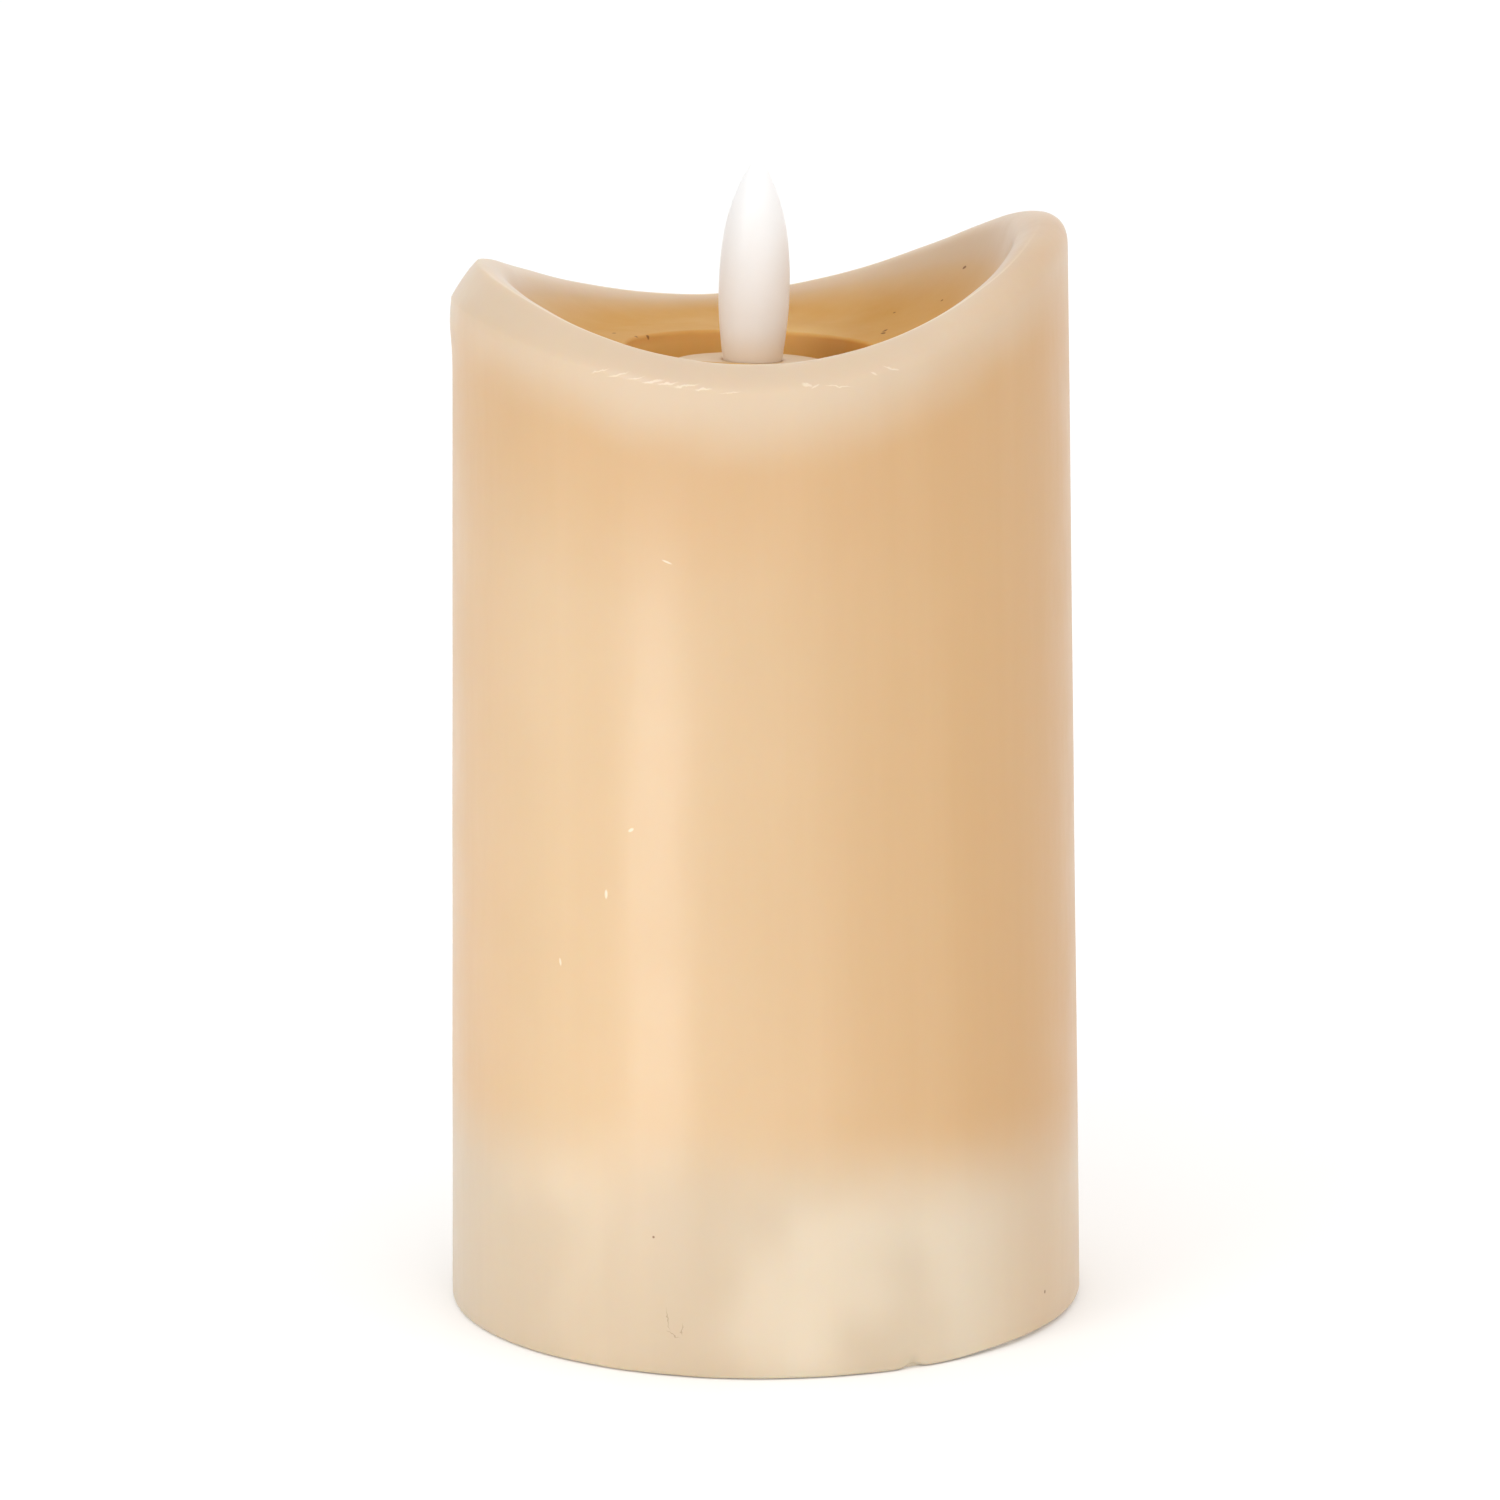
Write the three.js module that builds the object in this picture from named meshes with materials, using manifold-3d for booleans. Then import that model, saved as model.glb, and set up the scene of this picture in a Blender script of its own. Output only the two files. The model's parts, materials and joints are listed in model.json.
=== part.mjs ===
// A flameless pillar candle: a hollow real-wax shell with a scalloped rim, an opal plastic flame
// standing on a collar in the pool, and a plastic base module that holds two AA cells, a timer
// board, a three-position slide switch and a battery door.
// Millimetres, +Z up, origin at the centre of the standing face, front of the candle towards -Y.
import * as THREE from "three";
import { mergeVertices } from "three/addons/utils/BufferGeometryUtils.js";
import Module from "manifold-3d";

const wasm = await Module();
wasm.setup();

// ---------------------------------------------------------------- driving dimensions
const GAP = 0.2; // between neighbouring pieces
const DEGREE = Math.PI / 180;
const SIDES = [-1, 1]; // left and right, or front and back

// Wax shell
const WAX_FOOT_Z = 0.7;
const FOOT_RADIUS = 39.16; // outside, extended to z = 0
const WALL_TAPER = 0.0155; // the mould's draft, in mm of radius for each mm of height
const BORE_RADIUS = 33.5; // takes the base module
const SHOULDER_Z = 29.6; // where the bore steps in and stops the module
const CAVITY_FOOT_RADIUS = 32.3;
const CAVITY_TOP_RADIUS = 30.6;
const WEB_UNDERSIDE_Z = 108;
const MOAT_FLOOR_Z = 114;
const MOAT_RADIUS = 15.8;
const POOL_EDGE_Z = 118.4; // the pool floor where it breaks into the moat
const STEM_HOLE_RADIUS = 6.6;
const LEAN_END_RADIUS = 26; // outside this the shell stands straight

// Rim: a ring whose crest follows a saddle, higher on the right than on the left
const RIM_LOW_Z = 120.9;
const RIM_OUTER_ROUND = 3.0;
const RIM_INNER_ROUND = 1.2;
const ROUND_FOOT_Z = RIM_LOW_Z - RIM_OUTER_ROUND;
const CREST_RADIUS = FOOT_RADIUS - WALL_TAPER * ROUND_FOOT_Z - RIM_OUTER_ROUND;
const SADDLE_CURVE = 0.0091; // mm of height for each square mm from the saddle's line
const SADDLE_TILT = 0.072;
const SADDLE_TURN = 4.9 * DEGREE;
const BLEND_START_Z = 70; // the outer wall follows the rim's rise from here up
const ROUND_FULLNESS = 1.5; // the outer rounding's power: 1 is a flat chamfer and 2 is a circle
const LEFT_FULLNESS = -0.35; // added at the left shoulder
const RIGHT_FULLNESS = 0.9;
const LEFT_DROP = 1.4; // the outer rounding is this much taller at the left shoulder
const RIGHT_DROP = 0.2;
const SHOULDER_SOFTENING = 2.0; // the inner rounding is this much bigger at both shoulders
const POOL_OUTER_RADIUS = CREST_RADIUS - RIM_INNER_ROUND;

// Flame and its collar
const FLAME_LEAN = 1.8 * DEGREE; // collar, flame and moat lean right together
const FLAME_OFFSET = -1.0; // and stand a little left of the middle
const LEAN_PIVOT_Z = 117;
const COLLAR_RADIUS = 9.7;
const COLLAR_TOP_Z = 116.8;
const COLLAR_DOME = 0.35;
const COLLAR_UNDERSIDE_Z = MOAT_FLOOR_Z + 0.3;
const STEM_RADIUS = 6.3;
const STEM_BORE_RADIUS = 5.1;
const STEM_FOOT_Z = 99;
const NECK_RADIUS = 3.9;
const NECK_FOOT_Z = 109.4;
const FLAME_TIP_Z = 141.6;
const FLAME_WIDEST_Z = 124.6;
const FLAME_RADIUS = 4.3;
const FLAME_SKIRT_RADIUS = 3.55;
const FLAME_FOOT_Z = 107.2;
const FLAME_WALL = 1.0;
const LED_RADIUS = 2.5;
const LED_FOOT_Z = 103.6;
const LED_PITCH = 2.54; // between the two leads
const PLUG_HEIGHT = 3;

// Base module
const FLANGE_RADIUS = 38.1;
const FLANGE_HEIGHT = 0.5;
const FLANGE_EDGE = 0.2; // its lower edge's chamfer
const DISC_UNDERSIDE_Z = 0.6; // the disc stands clear of the table inside its rim
const DISC_TOP_Z = 2.6;
const SKIRT_RADIUS = 33.2;
const SKIRT_WALL = 1.4;
const SKIRT_TOP_Z = 27.4;
const LID_Z = SKIRT_TOP_Z + GAP;
const LID_THICKNESS = 1.6;
const LID_POST_RADIUS = 2.3;
const WELL_WALL = 1.2;
const WELL_HALF_LENGTH = 27.5; // inside, along the cells
const WELL_HALF_WIDTH = 15.3;
const WELL_Y = 1; // the cells sit a little behind the middle, to leave room for the switch
const WELL_ROOF_Z = 18.4;

// Cells: size AA
const CELL_RADIUS = 7.25;
const CELL_LENGTH = 50.5;
const CELL_PITCH = 15;
const CELL_Z = 10.6;
const CONTACT_THICKNESS = 0.4;
const CONTACT_X = WELL_HALF_LENGTH - 0.1 - CONTACT_THICKNESS; // inner face of the end contacts
const BUTTON_HEIGHT = 1.2;
const SPRING_WIRE_RADIUS = 0.3;

// Battery door
const DOOR_Z = DISC_UNDERSIDE_Z;
const DOOR_THICKNESS = 1.8;
const OPENING_MARGIN = 1.0; // the door's opening reaches past the well's inside by this
const OPENING_CORNER = 3;
const HINGE_TAB_X = 14;
const HINGE_TAB_HALF_WIDTH = 3;
const LATCH_HALF_WIDTH = 4.8;
const LATCH_TOP_Z = 6.2;
const LATCH_NOTCH_TOP_Z = 8;
const TAB_SLOT_TOP_Z = 5.8; // leaves the tabs room to turn
const DOOR_CLEARANCE = 0.6; // beside the tabs and the latch
const FINGER_SCOOP_RADIUS = 6;

// Board and switch
const BOARD_Z = 9;
const BOARD_THICKNESS = 1.6;
const BOARD_TOP_Z = BOARD_Z + BOARD_THICKNESS;
const BOARD_HALF_WIDTH = 11;
const BOARD_Y = -23.2;
const BOARD_HALF_DEPTH = 5.8;
const BOARD_SCREW = [9, -19.6];
const SWITCH_Y = -25.6;
const SWITCH_TRAVEL = 2; // each way from the middle
const SWITCH_DISH = [7, 3.5]; // half sizes
const SWITCH_SLOT = [4.2, 1.8];
const BOARD_POST_RADIUS = 2.1;
const LID_SCREWS = [[17, 24], [-17, 24], [19.5, -21.5], [-19.5, -21.5]];

const WIRE_RADIUS = 0.6;
const LEAD_HOLE_RADIUS = 0.95; // in the well's roof, for the battery leads
const LID_LEAD_HOLE = [2.4, -25.4, 3]; // x, y, radius

// ---------------------------------------------------------------- materials
const material = (color, roughness, metalness = 0) =>
  new THREE.MeshStandardMaterial({ color, roughness, metalness });

// ---------------------------------------------------------------- shape helpers
function solid(geometry) {
  const plain = geometry.clone();
  plain.deleteAttribute("normal");
  plain.deleteAttribute("uv");
  const merged = mergeVertices(plain, 1e-4);
  return new wasm.Manifold(
    new wasm.Mesh({
      numProp: 3,
      vertProperties: merged.attributes.position.array,
      triVerts: new Uint32Array(merged.index.array),
    }),
  );
}

function geometryOf(manifold) {
  const mesh = manifold.getMesh();
  const geometry = new THREE.BufferGeometry();
  geometry.setAttribute("position", new THREE.BufferAttribute(mesh.vertProperties, 3));
  geometry.setIndex(new THREE.BufferAttribute(mesh.triVerts, 1));
  geometry.computeVertexNormals();
  return geometry;
}

function cut(body, ...tools) {
  return geometryOf(tools.reduce((left, tool) => left.subtract(solid(tool)), solid(body)));
}

function join(...pieces) {
  return geometryOf(pieces.map(solid).reduce((sum, piece) => sum.add(piece)));
}

// A solid of revolution about Z from [radius, z] points.
function revolve(points, segments = 40) {
  const profile = points.map(([radius, z]) => new THREE.Vector2(radius, z));
  return new THREE.LatheGeometry(profile, segments).rotateX(Math.PI / 2);
}

function arc(centreRadius, centreZ, radius, fromDegrees, toDegrees, steps) {
  return Array.from({ length: steps + 1 }, (_, i) => {
    const angle = (fromDegrees + ((toDegrees - fromDegrees) * i) / steps) * DEGREE;
    return [centreRadius + radius * Math.cos(angle), centreZ + radius * Math.sin(angle)];
  });
}

function box(x0, x1, y0, y1, z0, z1) {
  const geometry = new THREE.BoxGeometry(x1 - x0, y1 - y0, z1 - z0);
  return geometry.translate((x0 + x1) / 2, (y0 + y1) / 2, (z0 + z1) / 2);
}

function rod(x, y, radius, z0, z1, segments = 20) {
  const geometry = new THREE.CylinderGeometry(radius, radius, z1 - z0, segments);
  return geometry.rotateX(Math.PI / 2).translate(x, y, (z0 + z1) / 2);
}

// A flat plate with rounded corners, standing on z0.
function plate(x0, x1, y0, y1, corner, z0, z1) {
  const shape = new THREE.Shape();
  shape.moveTo(x0 + corner, y0);
  shape.absarc(x1 - corner, y0 + corner, corner, -Math.PI / 2, 0);
  shape.absarc(x1 - corner, y1 - corner, corner, 0, Math.PI / 2);
  shape.absarc(x0 + corner, y1 - corner, corner, Math.PI / 2, Math.PI);
  shape.absarc(x0 + corner, y0 + corner, corner, Math.PI, 1.5 * Math.PI);
  const options = { depth: z1 - z0, bevelEnabled: false, curveSegments: 5 };
  return new THREE.ExtrudeGeometry(shape, options).translate(0, 0, z0);
}

// A round wire along a smooth curve through the points.
function wire(points, radius, steps) {
  const path = new THREE.CatmullRomCurve3(points.map((point) => new THREE.Vector3(...point)));
  const section = new THREE.Shape().absarc(0, 0, radius, 0, 2 * Math.PI);
  return new THREE.ExtrudeGeometry(section, { extrudePath: path, steps, curveSegments: 4 });
}

const candle = new THREE.Group();
const flameGroup = new THREE.Group();
flameGroup.rotation.y = FLAME_LEAN;
flameGroup.position.set(
  FLAME_OFFSET - LEAN_PIVOT_Z * Math.sin(FLAME_LEAN),
  0,
  LEAN_PIVOT_Z * (1 - Math.cos(FLAME_LEAN)),
);
candle.add(flameGroup);

function add(name, geometry, finish, group = candle) {
  const mesh = new THREE.Mesh(geometry, finish);
  mesh.name = name;
  group.add(mesh);
  return mesh;
}

// ---------------------------------------------------------------- wax shell
function outerRadius(z) {
  return FOOT_RADIUS - WALL_TAPER * z;
}

function rimRise(angle) {
  const across = CREST_RADIUS * Math.cos(angle - SADDLE_TURN);
  return SADDLE_CURVE * across ** 2 + SADDLE_TILT * across;
}

// A point given in the upright flame's frame, moved to where the leaning flame has it.
function leaned(x, y, z) {
  const up = z - LEAN_PIVOT_Z;
  const turnedX = x * Math.cos(FLAME_LEAN) + up * Math.sin(FLAME_LEAN);
  const turnedZ = up * Math.cos(FLAME_LEAN) - x * Math.sin(FLAME_LEAN);
  return [turnedX + FLAME_OFFSET, y, turnedZ + LEAN_PIVOT_Z];
}

// The rim's outer rounding at an angle, as a superellipse whose drop and fullness change round the
// rim. `turn` runs from 0 at the wall to 1 at the crest.
function outerRounding(angle, turn) {
  const left = Math.max(-Math.cos(angle), 0) ** 2;
  const right = Math.max(Math.cos(angle), 0) ** 2;
  const power = 2 / (ROUND_FULLNESS + LEFT_FULLNESS * left + RIGHT_FULLNESS * right);
  const drop = RIM_OUTER_ROUND + LEFT_DROP * left + RIGHT_DROP * right;
  const quarter = (turn * Math.PI) / 2;
  return {
    inward: RIM_OUTER_ROUND * (1 - Math.cos(quarter) ** power),
    down: drop * (1 - Math.sin(quarter) ** power),
  };
}

// Where a point of the plain ring goes, as [radius, z], for each of the ring's four parts.
function shapedProfile(radius, z, angle) {
  const top = RIM_LOW_Z + rimRise(angle);
  const softening = SHOULDER_SOFTENING * Math.cos(angle) ** 4;
  if (radius > CREST_RADIUS - 0.01 && z > ROUND_FOOT_Z - 0.01) {
    const turn = Math.atan2(z - ROUND_FOOT_Z, Math.max(radius - CREST_RADIUS, 0)) / (Math.PI / 2);
    const { inward, down } = outerRounding(angle, turn);
    return [outerRadius(top - down) - inward, top - down];
  }
  if (radius > CREST_RADIUS - 0.01) {
    const lift = top - outerRounding(angle, 0).down - ROUND_FOOT_Z;
    const raised = z + lift * THREE.MathUtils.smoothstep(z, BLEND_START_Z, ROUND_FOOT_Z);
    return [radius + outerRadius(raised) - outerRadius(z), raised];
  }
  if (z > RIM_LOW_Z - RIM_INNER_ROUND - 0.01) {
    const growth = 1 + softening / RIM_INNER_ROUND;
    const crest = outerRadius(top) - RIM_OUTER_ROUND;
    return [crest - (CREST_RADIUS - radius) * growth, top - (RIM_LOW_Z - z) * growth];
  }
  if (z < POOL_EDGE_Z - 0.01) return [radius, z];
  const outward = Math.max((radius - MOAT_RADIUS) / (POOL_OUTER_RADIUS - MOAT_RADIUS), 0);
  const inwardShift = softening + outerRadius(RIM_LOW_Z) - outerRadius(top);
  return [radius - inwardShift * outward ** 2, z + (top - RIM_LOW_Z - softening) * outward ** 2.2];
}

// Shapes the plain ring, and moves it over with the flame near the moat.
function shapedPoint(x, y, z) {
  const radius = Math.hypot(x, y);
  const [newRadius, newZ] = shapedProfile(radius, z, Math.atan2(y, x));
  const shaped = [(x * newRadius) / radius, (y * newRadius) / radius, newZ];
  if (z < WEB_UNDERSIDE_Z - 1) return shaped;
  const nearMoat = 1 - THREE.MathUtils.smoothstep(radius, MOAT_RADIUS, LEAN_END_RADIUS);
  const moved = leaned(...shaped);
  return shaped.map((value, i) => value + (moved[i] - value) * nearMoat);
}

function poolFloor(steps) {
  const drop = RIM_LOW_Z - RIM_INNER_ROUND - POOL_EDGE_Z;
  return Array.from({ length: steps }, (_, i) => {
    const outward = 1 - (i + 1) / (steps + 1);
    const radius = MOAT_RADIUS + (POOL_OUTER_RADIUS - MOAT_RADIUS) * outward;
    return [radius, POOL_EDGE_Z + drop * outward ** 1.5];
  });
}

function waxShell() {
  const foot = 0.5; // the lower edge's chamfer
  const webRound = 4;
  const moatLip = 0.4;
  const footRadius = outerRadius(WAX_FOOT_Z);
  const wallHeights = [30, BLEND_START_Z, 80, 90, 100, 109];
  const profile = [
    [BORE_RADIUS, WAX_FOOT_Z],
    [footRadius - foot, WAX_FOOT_Z],
    [outerRadius(WAX_FOOT_Z + foot), WAX_FOOT_Z + foot],
    ...wallHeights.map((z) => [outerRadius(z), z]),
    ...arc(CREST_RADIUS, ROUND_FOOT_Z, RIM_OUTER_ROUND, 0, 90, 5),
    ...arc(CREST_RADIUS, RIM_LOW_Z - RIM_INNER_ROUND, RIM_INNER_ROUND, 120, 180, 2),
    ...poolFloor(7),
    [MOAT_RADIUS, POOL_EDGE_Z],
    [MOAT_RADIUS - moatLip, POOL_EDGE_Z - 1.5 * moatLip],
    [MOAT_RADIUS - 1.5 * moatLip, MOAT_FLOOR_Z],
    [STEM_HOLE_RADIUS, MOAT_FLOOR_Z],
    [STEM_HOLE_RADIUS, WEB_UNDERSIDE_Z],
    ...arc(CAVITY_TOP_RADIUS - webRound, WEB_UNDERSIDE_Z - webRound, webRound, 90, 0, 3),
    [CAVITY_FOOT_RADIUS, SHOULDER_Z],
    [BORE_RADIUS, SHOULDER_Z],
    [BORE_RADIUS, WAX_FOOT_Z],
  ];
  const geometry = revolve(profile, 64);
  const points = geometry.attributes.position;
  for (let i = 0; i < points.count; i++) {
    points.setXYZ(i, ...shapedPoint(points.getX(i), points.getY(i), points.getZ(i)));
  }
  geometry.computeVertexNormals();
  add("wax_shell", geometry, material(0xe6c498, 0.45));
}

// ---------------------------------------------------------------- flame
function flameCollar() {
  const edge = 0.5; // the rounded edge of its dome
  const domeWidth = COLLAR_RADIUS - edge - NECK_RADIUS;
  const dome = Array.from({ length: 5 }, (_, i) => {
    const outward = 1 - i / 4;
    return [NECK_RADIUS + domeWidth * outward, COLLAR_TOP_Z - COLLAR_DOME * outward ** 2];
  });
  const profile = [
    [STEM_BORE_RADIUS, STEM_FOOT_Z],
    [STEM_RADIUS, STEM_FOOT_Z],
    [STEM_RADIUS, COLLAR_UNDERSIDE_Z],
    [COLLAR_RADIUS, COLLAR_UNDERSIDE_Z],
    [COLLAR_RADIUS, COLLAR_TOP_Z - COLLAR_DOME - edge],
    ...dome,
    [NECK_RADIUS, NECK_FOOT_Z],
    [STEM_BORE_RADIUS, NECK_FOOT_Z],
    [STEM_BORE_RADIUS, STEM_FOOT_Z],
  ];
  add("flame_collar", revolve(profile), material(0xd8bb97, 0.5), flameGroup);
}

function flameRadius(z) {
  if (z > FLAME_WIDEST_Z) {
    const upward = (z - FLAME_WIDEST_Z) / (FLAME_TIP_Z - FLAME_WIDEST_Z);
    return FLAME_RADIUS * (1 - upward ** 2.6) ** 0.9;
  }
  const downward = (FLAME_WIDEST_Z - z) / (FLAME_WIDEST_Z - COLLAR_TOP_Z + COLLAR_DOME);
  return FLAME_RADIUS - (FLAME_RADIUS - FLAME_SKIRT_RADIUS) * downward ** 1.6;
}

function flameBulb() {
  const skirtTop = COLLAR_TOP_Z - COLLAR_DOME;
  const flangeTop = NECK_FOOT_Z - GAP;
  const skirtBore = FLAME_SKIRT_RADIUS - 0.7;
  const ledRoomTop = LED_FOOT_Z + 9;
  const steps = 12;
  // Evenly turned, so that the points crowd towards the tip.
  const upper = Array.from({ length: steps }, (_, i) => {
    const z = skirtTop + (FLAME_TIP_Z - skirtTop) * Math.sin((i / steps) * (Math.PI / 2));
    return [flameRadius(z), z];
  });
  const inner = upper
    .slice(3, -3)
    .reverse()
    .map(([radius, z]) => [radius - FLAME_WALL, z]);
  const profile = [
    [0, inner[0][1] + 0.8],
    ...inner,
    [skirtBore, ledRoomTop],
    [skirtBore, FLAME_FOOT_Z],
    [STEM_BORE_RADIUS - GAP, FLAME_FOOT_Z],
    [STEM_BORE_RADIUS - GAP, flangeTop],
    [FLAME_SKIRT_RADIUS, flangeTop],
    ...upper,
    [0, FLAME_TIP_Z],
  ];
  add("flame_bulb", revolve(profile, 24), material(0xfbfaf7, 0.35), flameGroup);
}

function flameLed() {
  const rimRadius = LED_RADIUS + 0.4;
  const shoulder = LED_FOOT_Z + 1;
  const domeZ = LED_FOOT_Z + 6.2;
  const profile = [
    [0, LED_FOOT_Z],
    [rimRadius, LED_FOOT_Z],
    [rimRadius, shoulder],
    [LED_RADIUS, shoulder],
    ...arc(0, domeZ, LED_RADIUS, 0, 90, 4).slice(0, -1),
    [0, domeZ + LED_RADIUS],
  ];
  add("flame_led", revolve(profile, 16), material(0xf4d9a0, 0.2), flameGroup);
}

function ledPlug() {
  const top = LED_FOOT_Z - GAP;
  const holes = SIDES.map((side) =>
    rod((side * LED_PITCH) / 2, 0, WIRE_RADIUS + 0.25, top - PLUG_HEIGHT - 1, top + 1, 16),
  );
  const body = rod(0, 0, STEM_BORE_RADIUS - GAP, top - PLUG_HEIGHT, top, 32);
  add("led_plug", cut(body, ...holes), material(0xe9e4d8, 0.6), flameGroup);
}

// ---------------------------------------------------------------- base module
function opening(margin, z0, z1) {
  const halfLength = WELL_HALF_LENGTH + margin;
  const halfWidth = WELL_HALF_WIDTH + margin;
  const front = WELL_Y - halfWidth;
  const back = WELL_Y + halfWidth;
  return plate(-halfLength, halfLength, front, back, OPENING_CORNER, z0, z1);
}

function wellBlock() {
  const halfLength = WELL_HALF_LENGTH + WELL_WALL;
  const halfWidth = WELL_HALF_WIDTH + WELL_WALL;
  const roofTop = WELL_ROOF_Z + WELL_WALL;
  const z0 = DISC_TOP_Z - 0.1;
  const block = box(-halfLength, halfLength, WELL_Y - halfWidth, WELL_Y + halfWidth, z0, roofTop);
  const inside = solid(rod(0, 0, SKIRT_RADIUS - 0.4, z0, roofTop, 64));
  return geometryOf(solid(block).intersect(inside));
}

function baseShell() {
  return revolve(
    [
      [0, DISC_UNDERSIDE_Z],
      [SKIRT_RADIUS - 0.5, DISC_UNDERSIDE_Z],
      [SKIRT_RADIUS - 0.1, 0],
      [FLANGE_RADIUS - FLANGE_EDGE, 0],
      [FLANGE_RADIUS, FLANGE_EDGE],
      [FLANGE_RADIUS, FLANGE_HEIGHT],
      [SKIRT_RADIUS, FLANGE_HEIGHT],
      [SKIRT_RADIUS, SKIRT_TOP_Z],
      [SKIRT_RADIUS - SKIRT_WALL, SKIRT_TOP_Z],
      [SKIRT_RADIUS - SKIRT_WALL, DISC_TOP_Z],
      [0, DISC_TOP_Z],
    ],
    64,
  );
}

// Openings through the disc for the battery door: the well's mouth, two slots for the hinge tabs
// and a notch for the latch.
function doorCuts() {
  const wellBack = WELL_Y + WELL_HALF_WIDTH;
  const wellFront = WELL_Y - WELL_HALF_WIDTH;
  const tabHalf = HINGE_TAB_HALF_WIDTH + DOOR_CLEARANCE;
  const latchHalf = LATCH_HALF_WIDTH + DOOR_CLEARANCE;
  const notchFront = wellFront - WELL_WALL - 0.5;
  return [
    box(-WELL_HALF_LENGTH, WELL_HALF_LENGTH, wellFront, wellBack, DISC_TOP_Z - 1, WELL_ROOF_Z),
    opening(OPENING_MARGIN + 0.1, -1, DISC_TOP_Z),
    ...SIDES.map((side) => {
      const x = side * HINGE_TAB_X;
      return box(x - tabHalf, x + tabHalf, wellBack - 0.1, wellBack + 3.7, DISC_TOP_Z, TAB_SLOT_TOP_Z);
    }),
    box(-latchHalf, latchHalf, notchFront, wellFront + 0.1, DISC_TOP_Z, LATCH_NOTCH_TOP_Z),
    rod(0, wellFront - OPENING_MARGIN - 0.1, FINGER_SCOOP_RADIUS, -1, DISC_UNDERSIDE_Z + 1.2, 32),
  ];
}

// A dish in the underside round the switch's knob, and the knob's slot through it.
function switchCuts() {
  const [dishX, dishY] = SWITCH_DISH;
  const [slotX, slotY] = SWITCH_SLOT;
  return [
    plate(-dishX, dishX, SWITCH_Y - dishY, SWITCH_Y + dishY, 1.5, -1, DISC_UNDERSIDE_Z + 1),
    box(-slotX, slotX, SWITCH_Y - slotY, SWITCH_Y + slotY, 0, DISC_TOP_Z + 1),
  ];
}

function baseCuts() {
  const [screwX, screwY] = BOARD_SCREW;
  const leadHoleX = CONTACT_X - 0.2;
  return [
    ...doorCuts(),
    ...switchCuts(),
    ...LID_SCREWS.map(([x, y]) => rod(x, y, 1.35, SKIRT_TOP_Z - 9, SKIRT_TOP_Z + 1, 16)),
    ...SIDES.map((side) => rod(side * screwX, screwY, 0.95, DISC_TOP_Z + 0.9, BOARD_Z + 1, 16)),
    ...SIDES.map((side) => {
      const y = WELL_Y + (side * CELL_PITCH) / 2;
      return rod(leadHoleX, y, LEAD_HOLE_RADIUS, WELL_ROOF_Z - 1, WELL_ROOF_Z + 3, 16);
    }),
  ];
}

function baseBody() {
  const postFoot = DISC_TOP_Z - 0.1;
  const [screwX, screwY] = BOARD_SCREW;
  const lidPosts = LID_SCREWS.map(([x, y]) => rod(x, y, LID_POST_RADIUS, postFoot, SKIRT_TOP_Z));
  const boardPosts = SIDES.map((side) =>
    rod(side * screwX, screwY, BOARD_POST_RADIUS, postFoot, BOARD_Z),
  );
  const body = join(baseShell(), wellBlock(), ...lidPosts, ...boardPosts);
  add("base_body", cut(body, ...baseCuts()), material(0xe9dcc6, 0.55));
}

function baseLid() {
  const top = LID_Z + LID_THICKNESS;
  const [leadX, leadY, leadRadius] = LID_LEAD_HOLE;
  const holes = LID_SCREWS.map(([x, y]) => rod(x, y, 1.5, LID_Z - 1, top + 1, 16));
  const leadHole = rod(leadX, leadY, leadRadius, LID_Z - 1, top + 1);
  const disc = rod(0, 0, SKIRT_RADIUS - 0.1, LID_Z, top, 64);
  add("base_lid", cut(disc, leadHole, ...holes), material(0xe9dcc6, 0.55));
}

// A pan-head screw driven straight down, with a cross recess in its head.
function screw(name, x, y, headZ, headRadius, shankRadius, length) {
  const headHeight = headRadius * 0.55;
  const headTop = headZ + headHeight;
  const profile = [
    [0, headZ - length],
    [shankRadius * 0.6, headZ - length],
    [shankRadius, headZ - length + shankRadius],
    [shankRadius, headZ],
    [headRadius, headZ],
    [headRadius, headZ + headHeight * 0.4],
    [headRadius * 0.75, headTop],
    [0, headTop],
  ];
  const arm = headRadius * 0.55;
  const half = headRadius * 0.12;
  const slotFoot = headZ + headHeight * 0.35;
  const slots = [
    box(-arm, arm, -half, half, slotFoot, headTop + 1),
    box(-half, half, -arm, arm, slotFoot, headTop + 1),
  ];
  const mesh = add(name, cut(revolve(profile, 12), ...slots), material(0xb9bbbd, 0.35, 1));
  mesh.position.set(x, y, 0);
}

// ---------------------------------------------------------------- cells and contacts
// The cell lies along X with its positive end towards `facing`.
function cell(name, y, facing) {
  const shoulder = CELL_LENGTH - 1.4;
  const nubRadius = 2.75;
  const profile = [
    [0, 0],
    [CELL_RADIUS - 0.3, 0],
    [CELL_RADIUS, 0.3],
    [CELL_RADIUS, shoulder - 0.6],
    [CELL_RADIUS - 0.4, shoulder],
    [nubRadius, shoulder],
    [nubRadius, CELL_LENGTH - 0.2],
    [nubRadius - 0.2, CELL_LENGTH],
    [0, CELL_LENGTH],
  ];
  const mesh = add(name, revolve(profile, 32), material(0x2f3236, 0.4, 0.2));
  mesh.rotation.y = (facing * Math.PI) / 2;
  const positiveEnd = CONTACT_X - BUTTON_HEIGHT - GAP;
  mesh.position.set(facing * (positiveEnd - CELL_LENGTH), y, CELL_Z);
}

// A contact's raised button, pointing from the end wall on the given side into the well.
function button(side, y) {
  const geometry = new THREE.CylinderGeometry(1.8, 2.8, BUTTON_HEIGHT + 0.1, 20);
  geometry.rotateZ((side * Math.PI) / 2);
  return geometry.translate(side * (CONTACT_X - BUTTON_HEIGHT / 2 + 0.05), y, CELL_Z);
}

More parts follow.
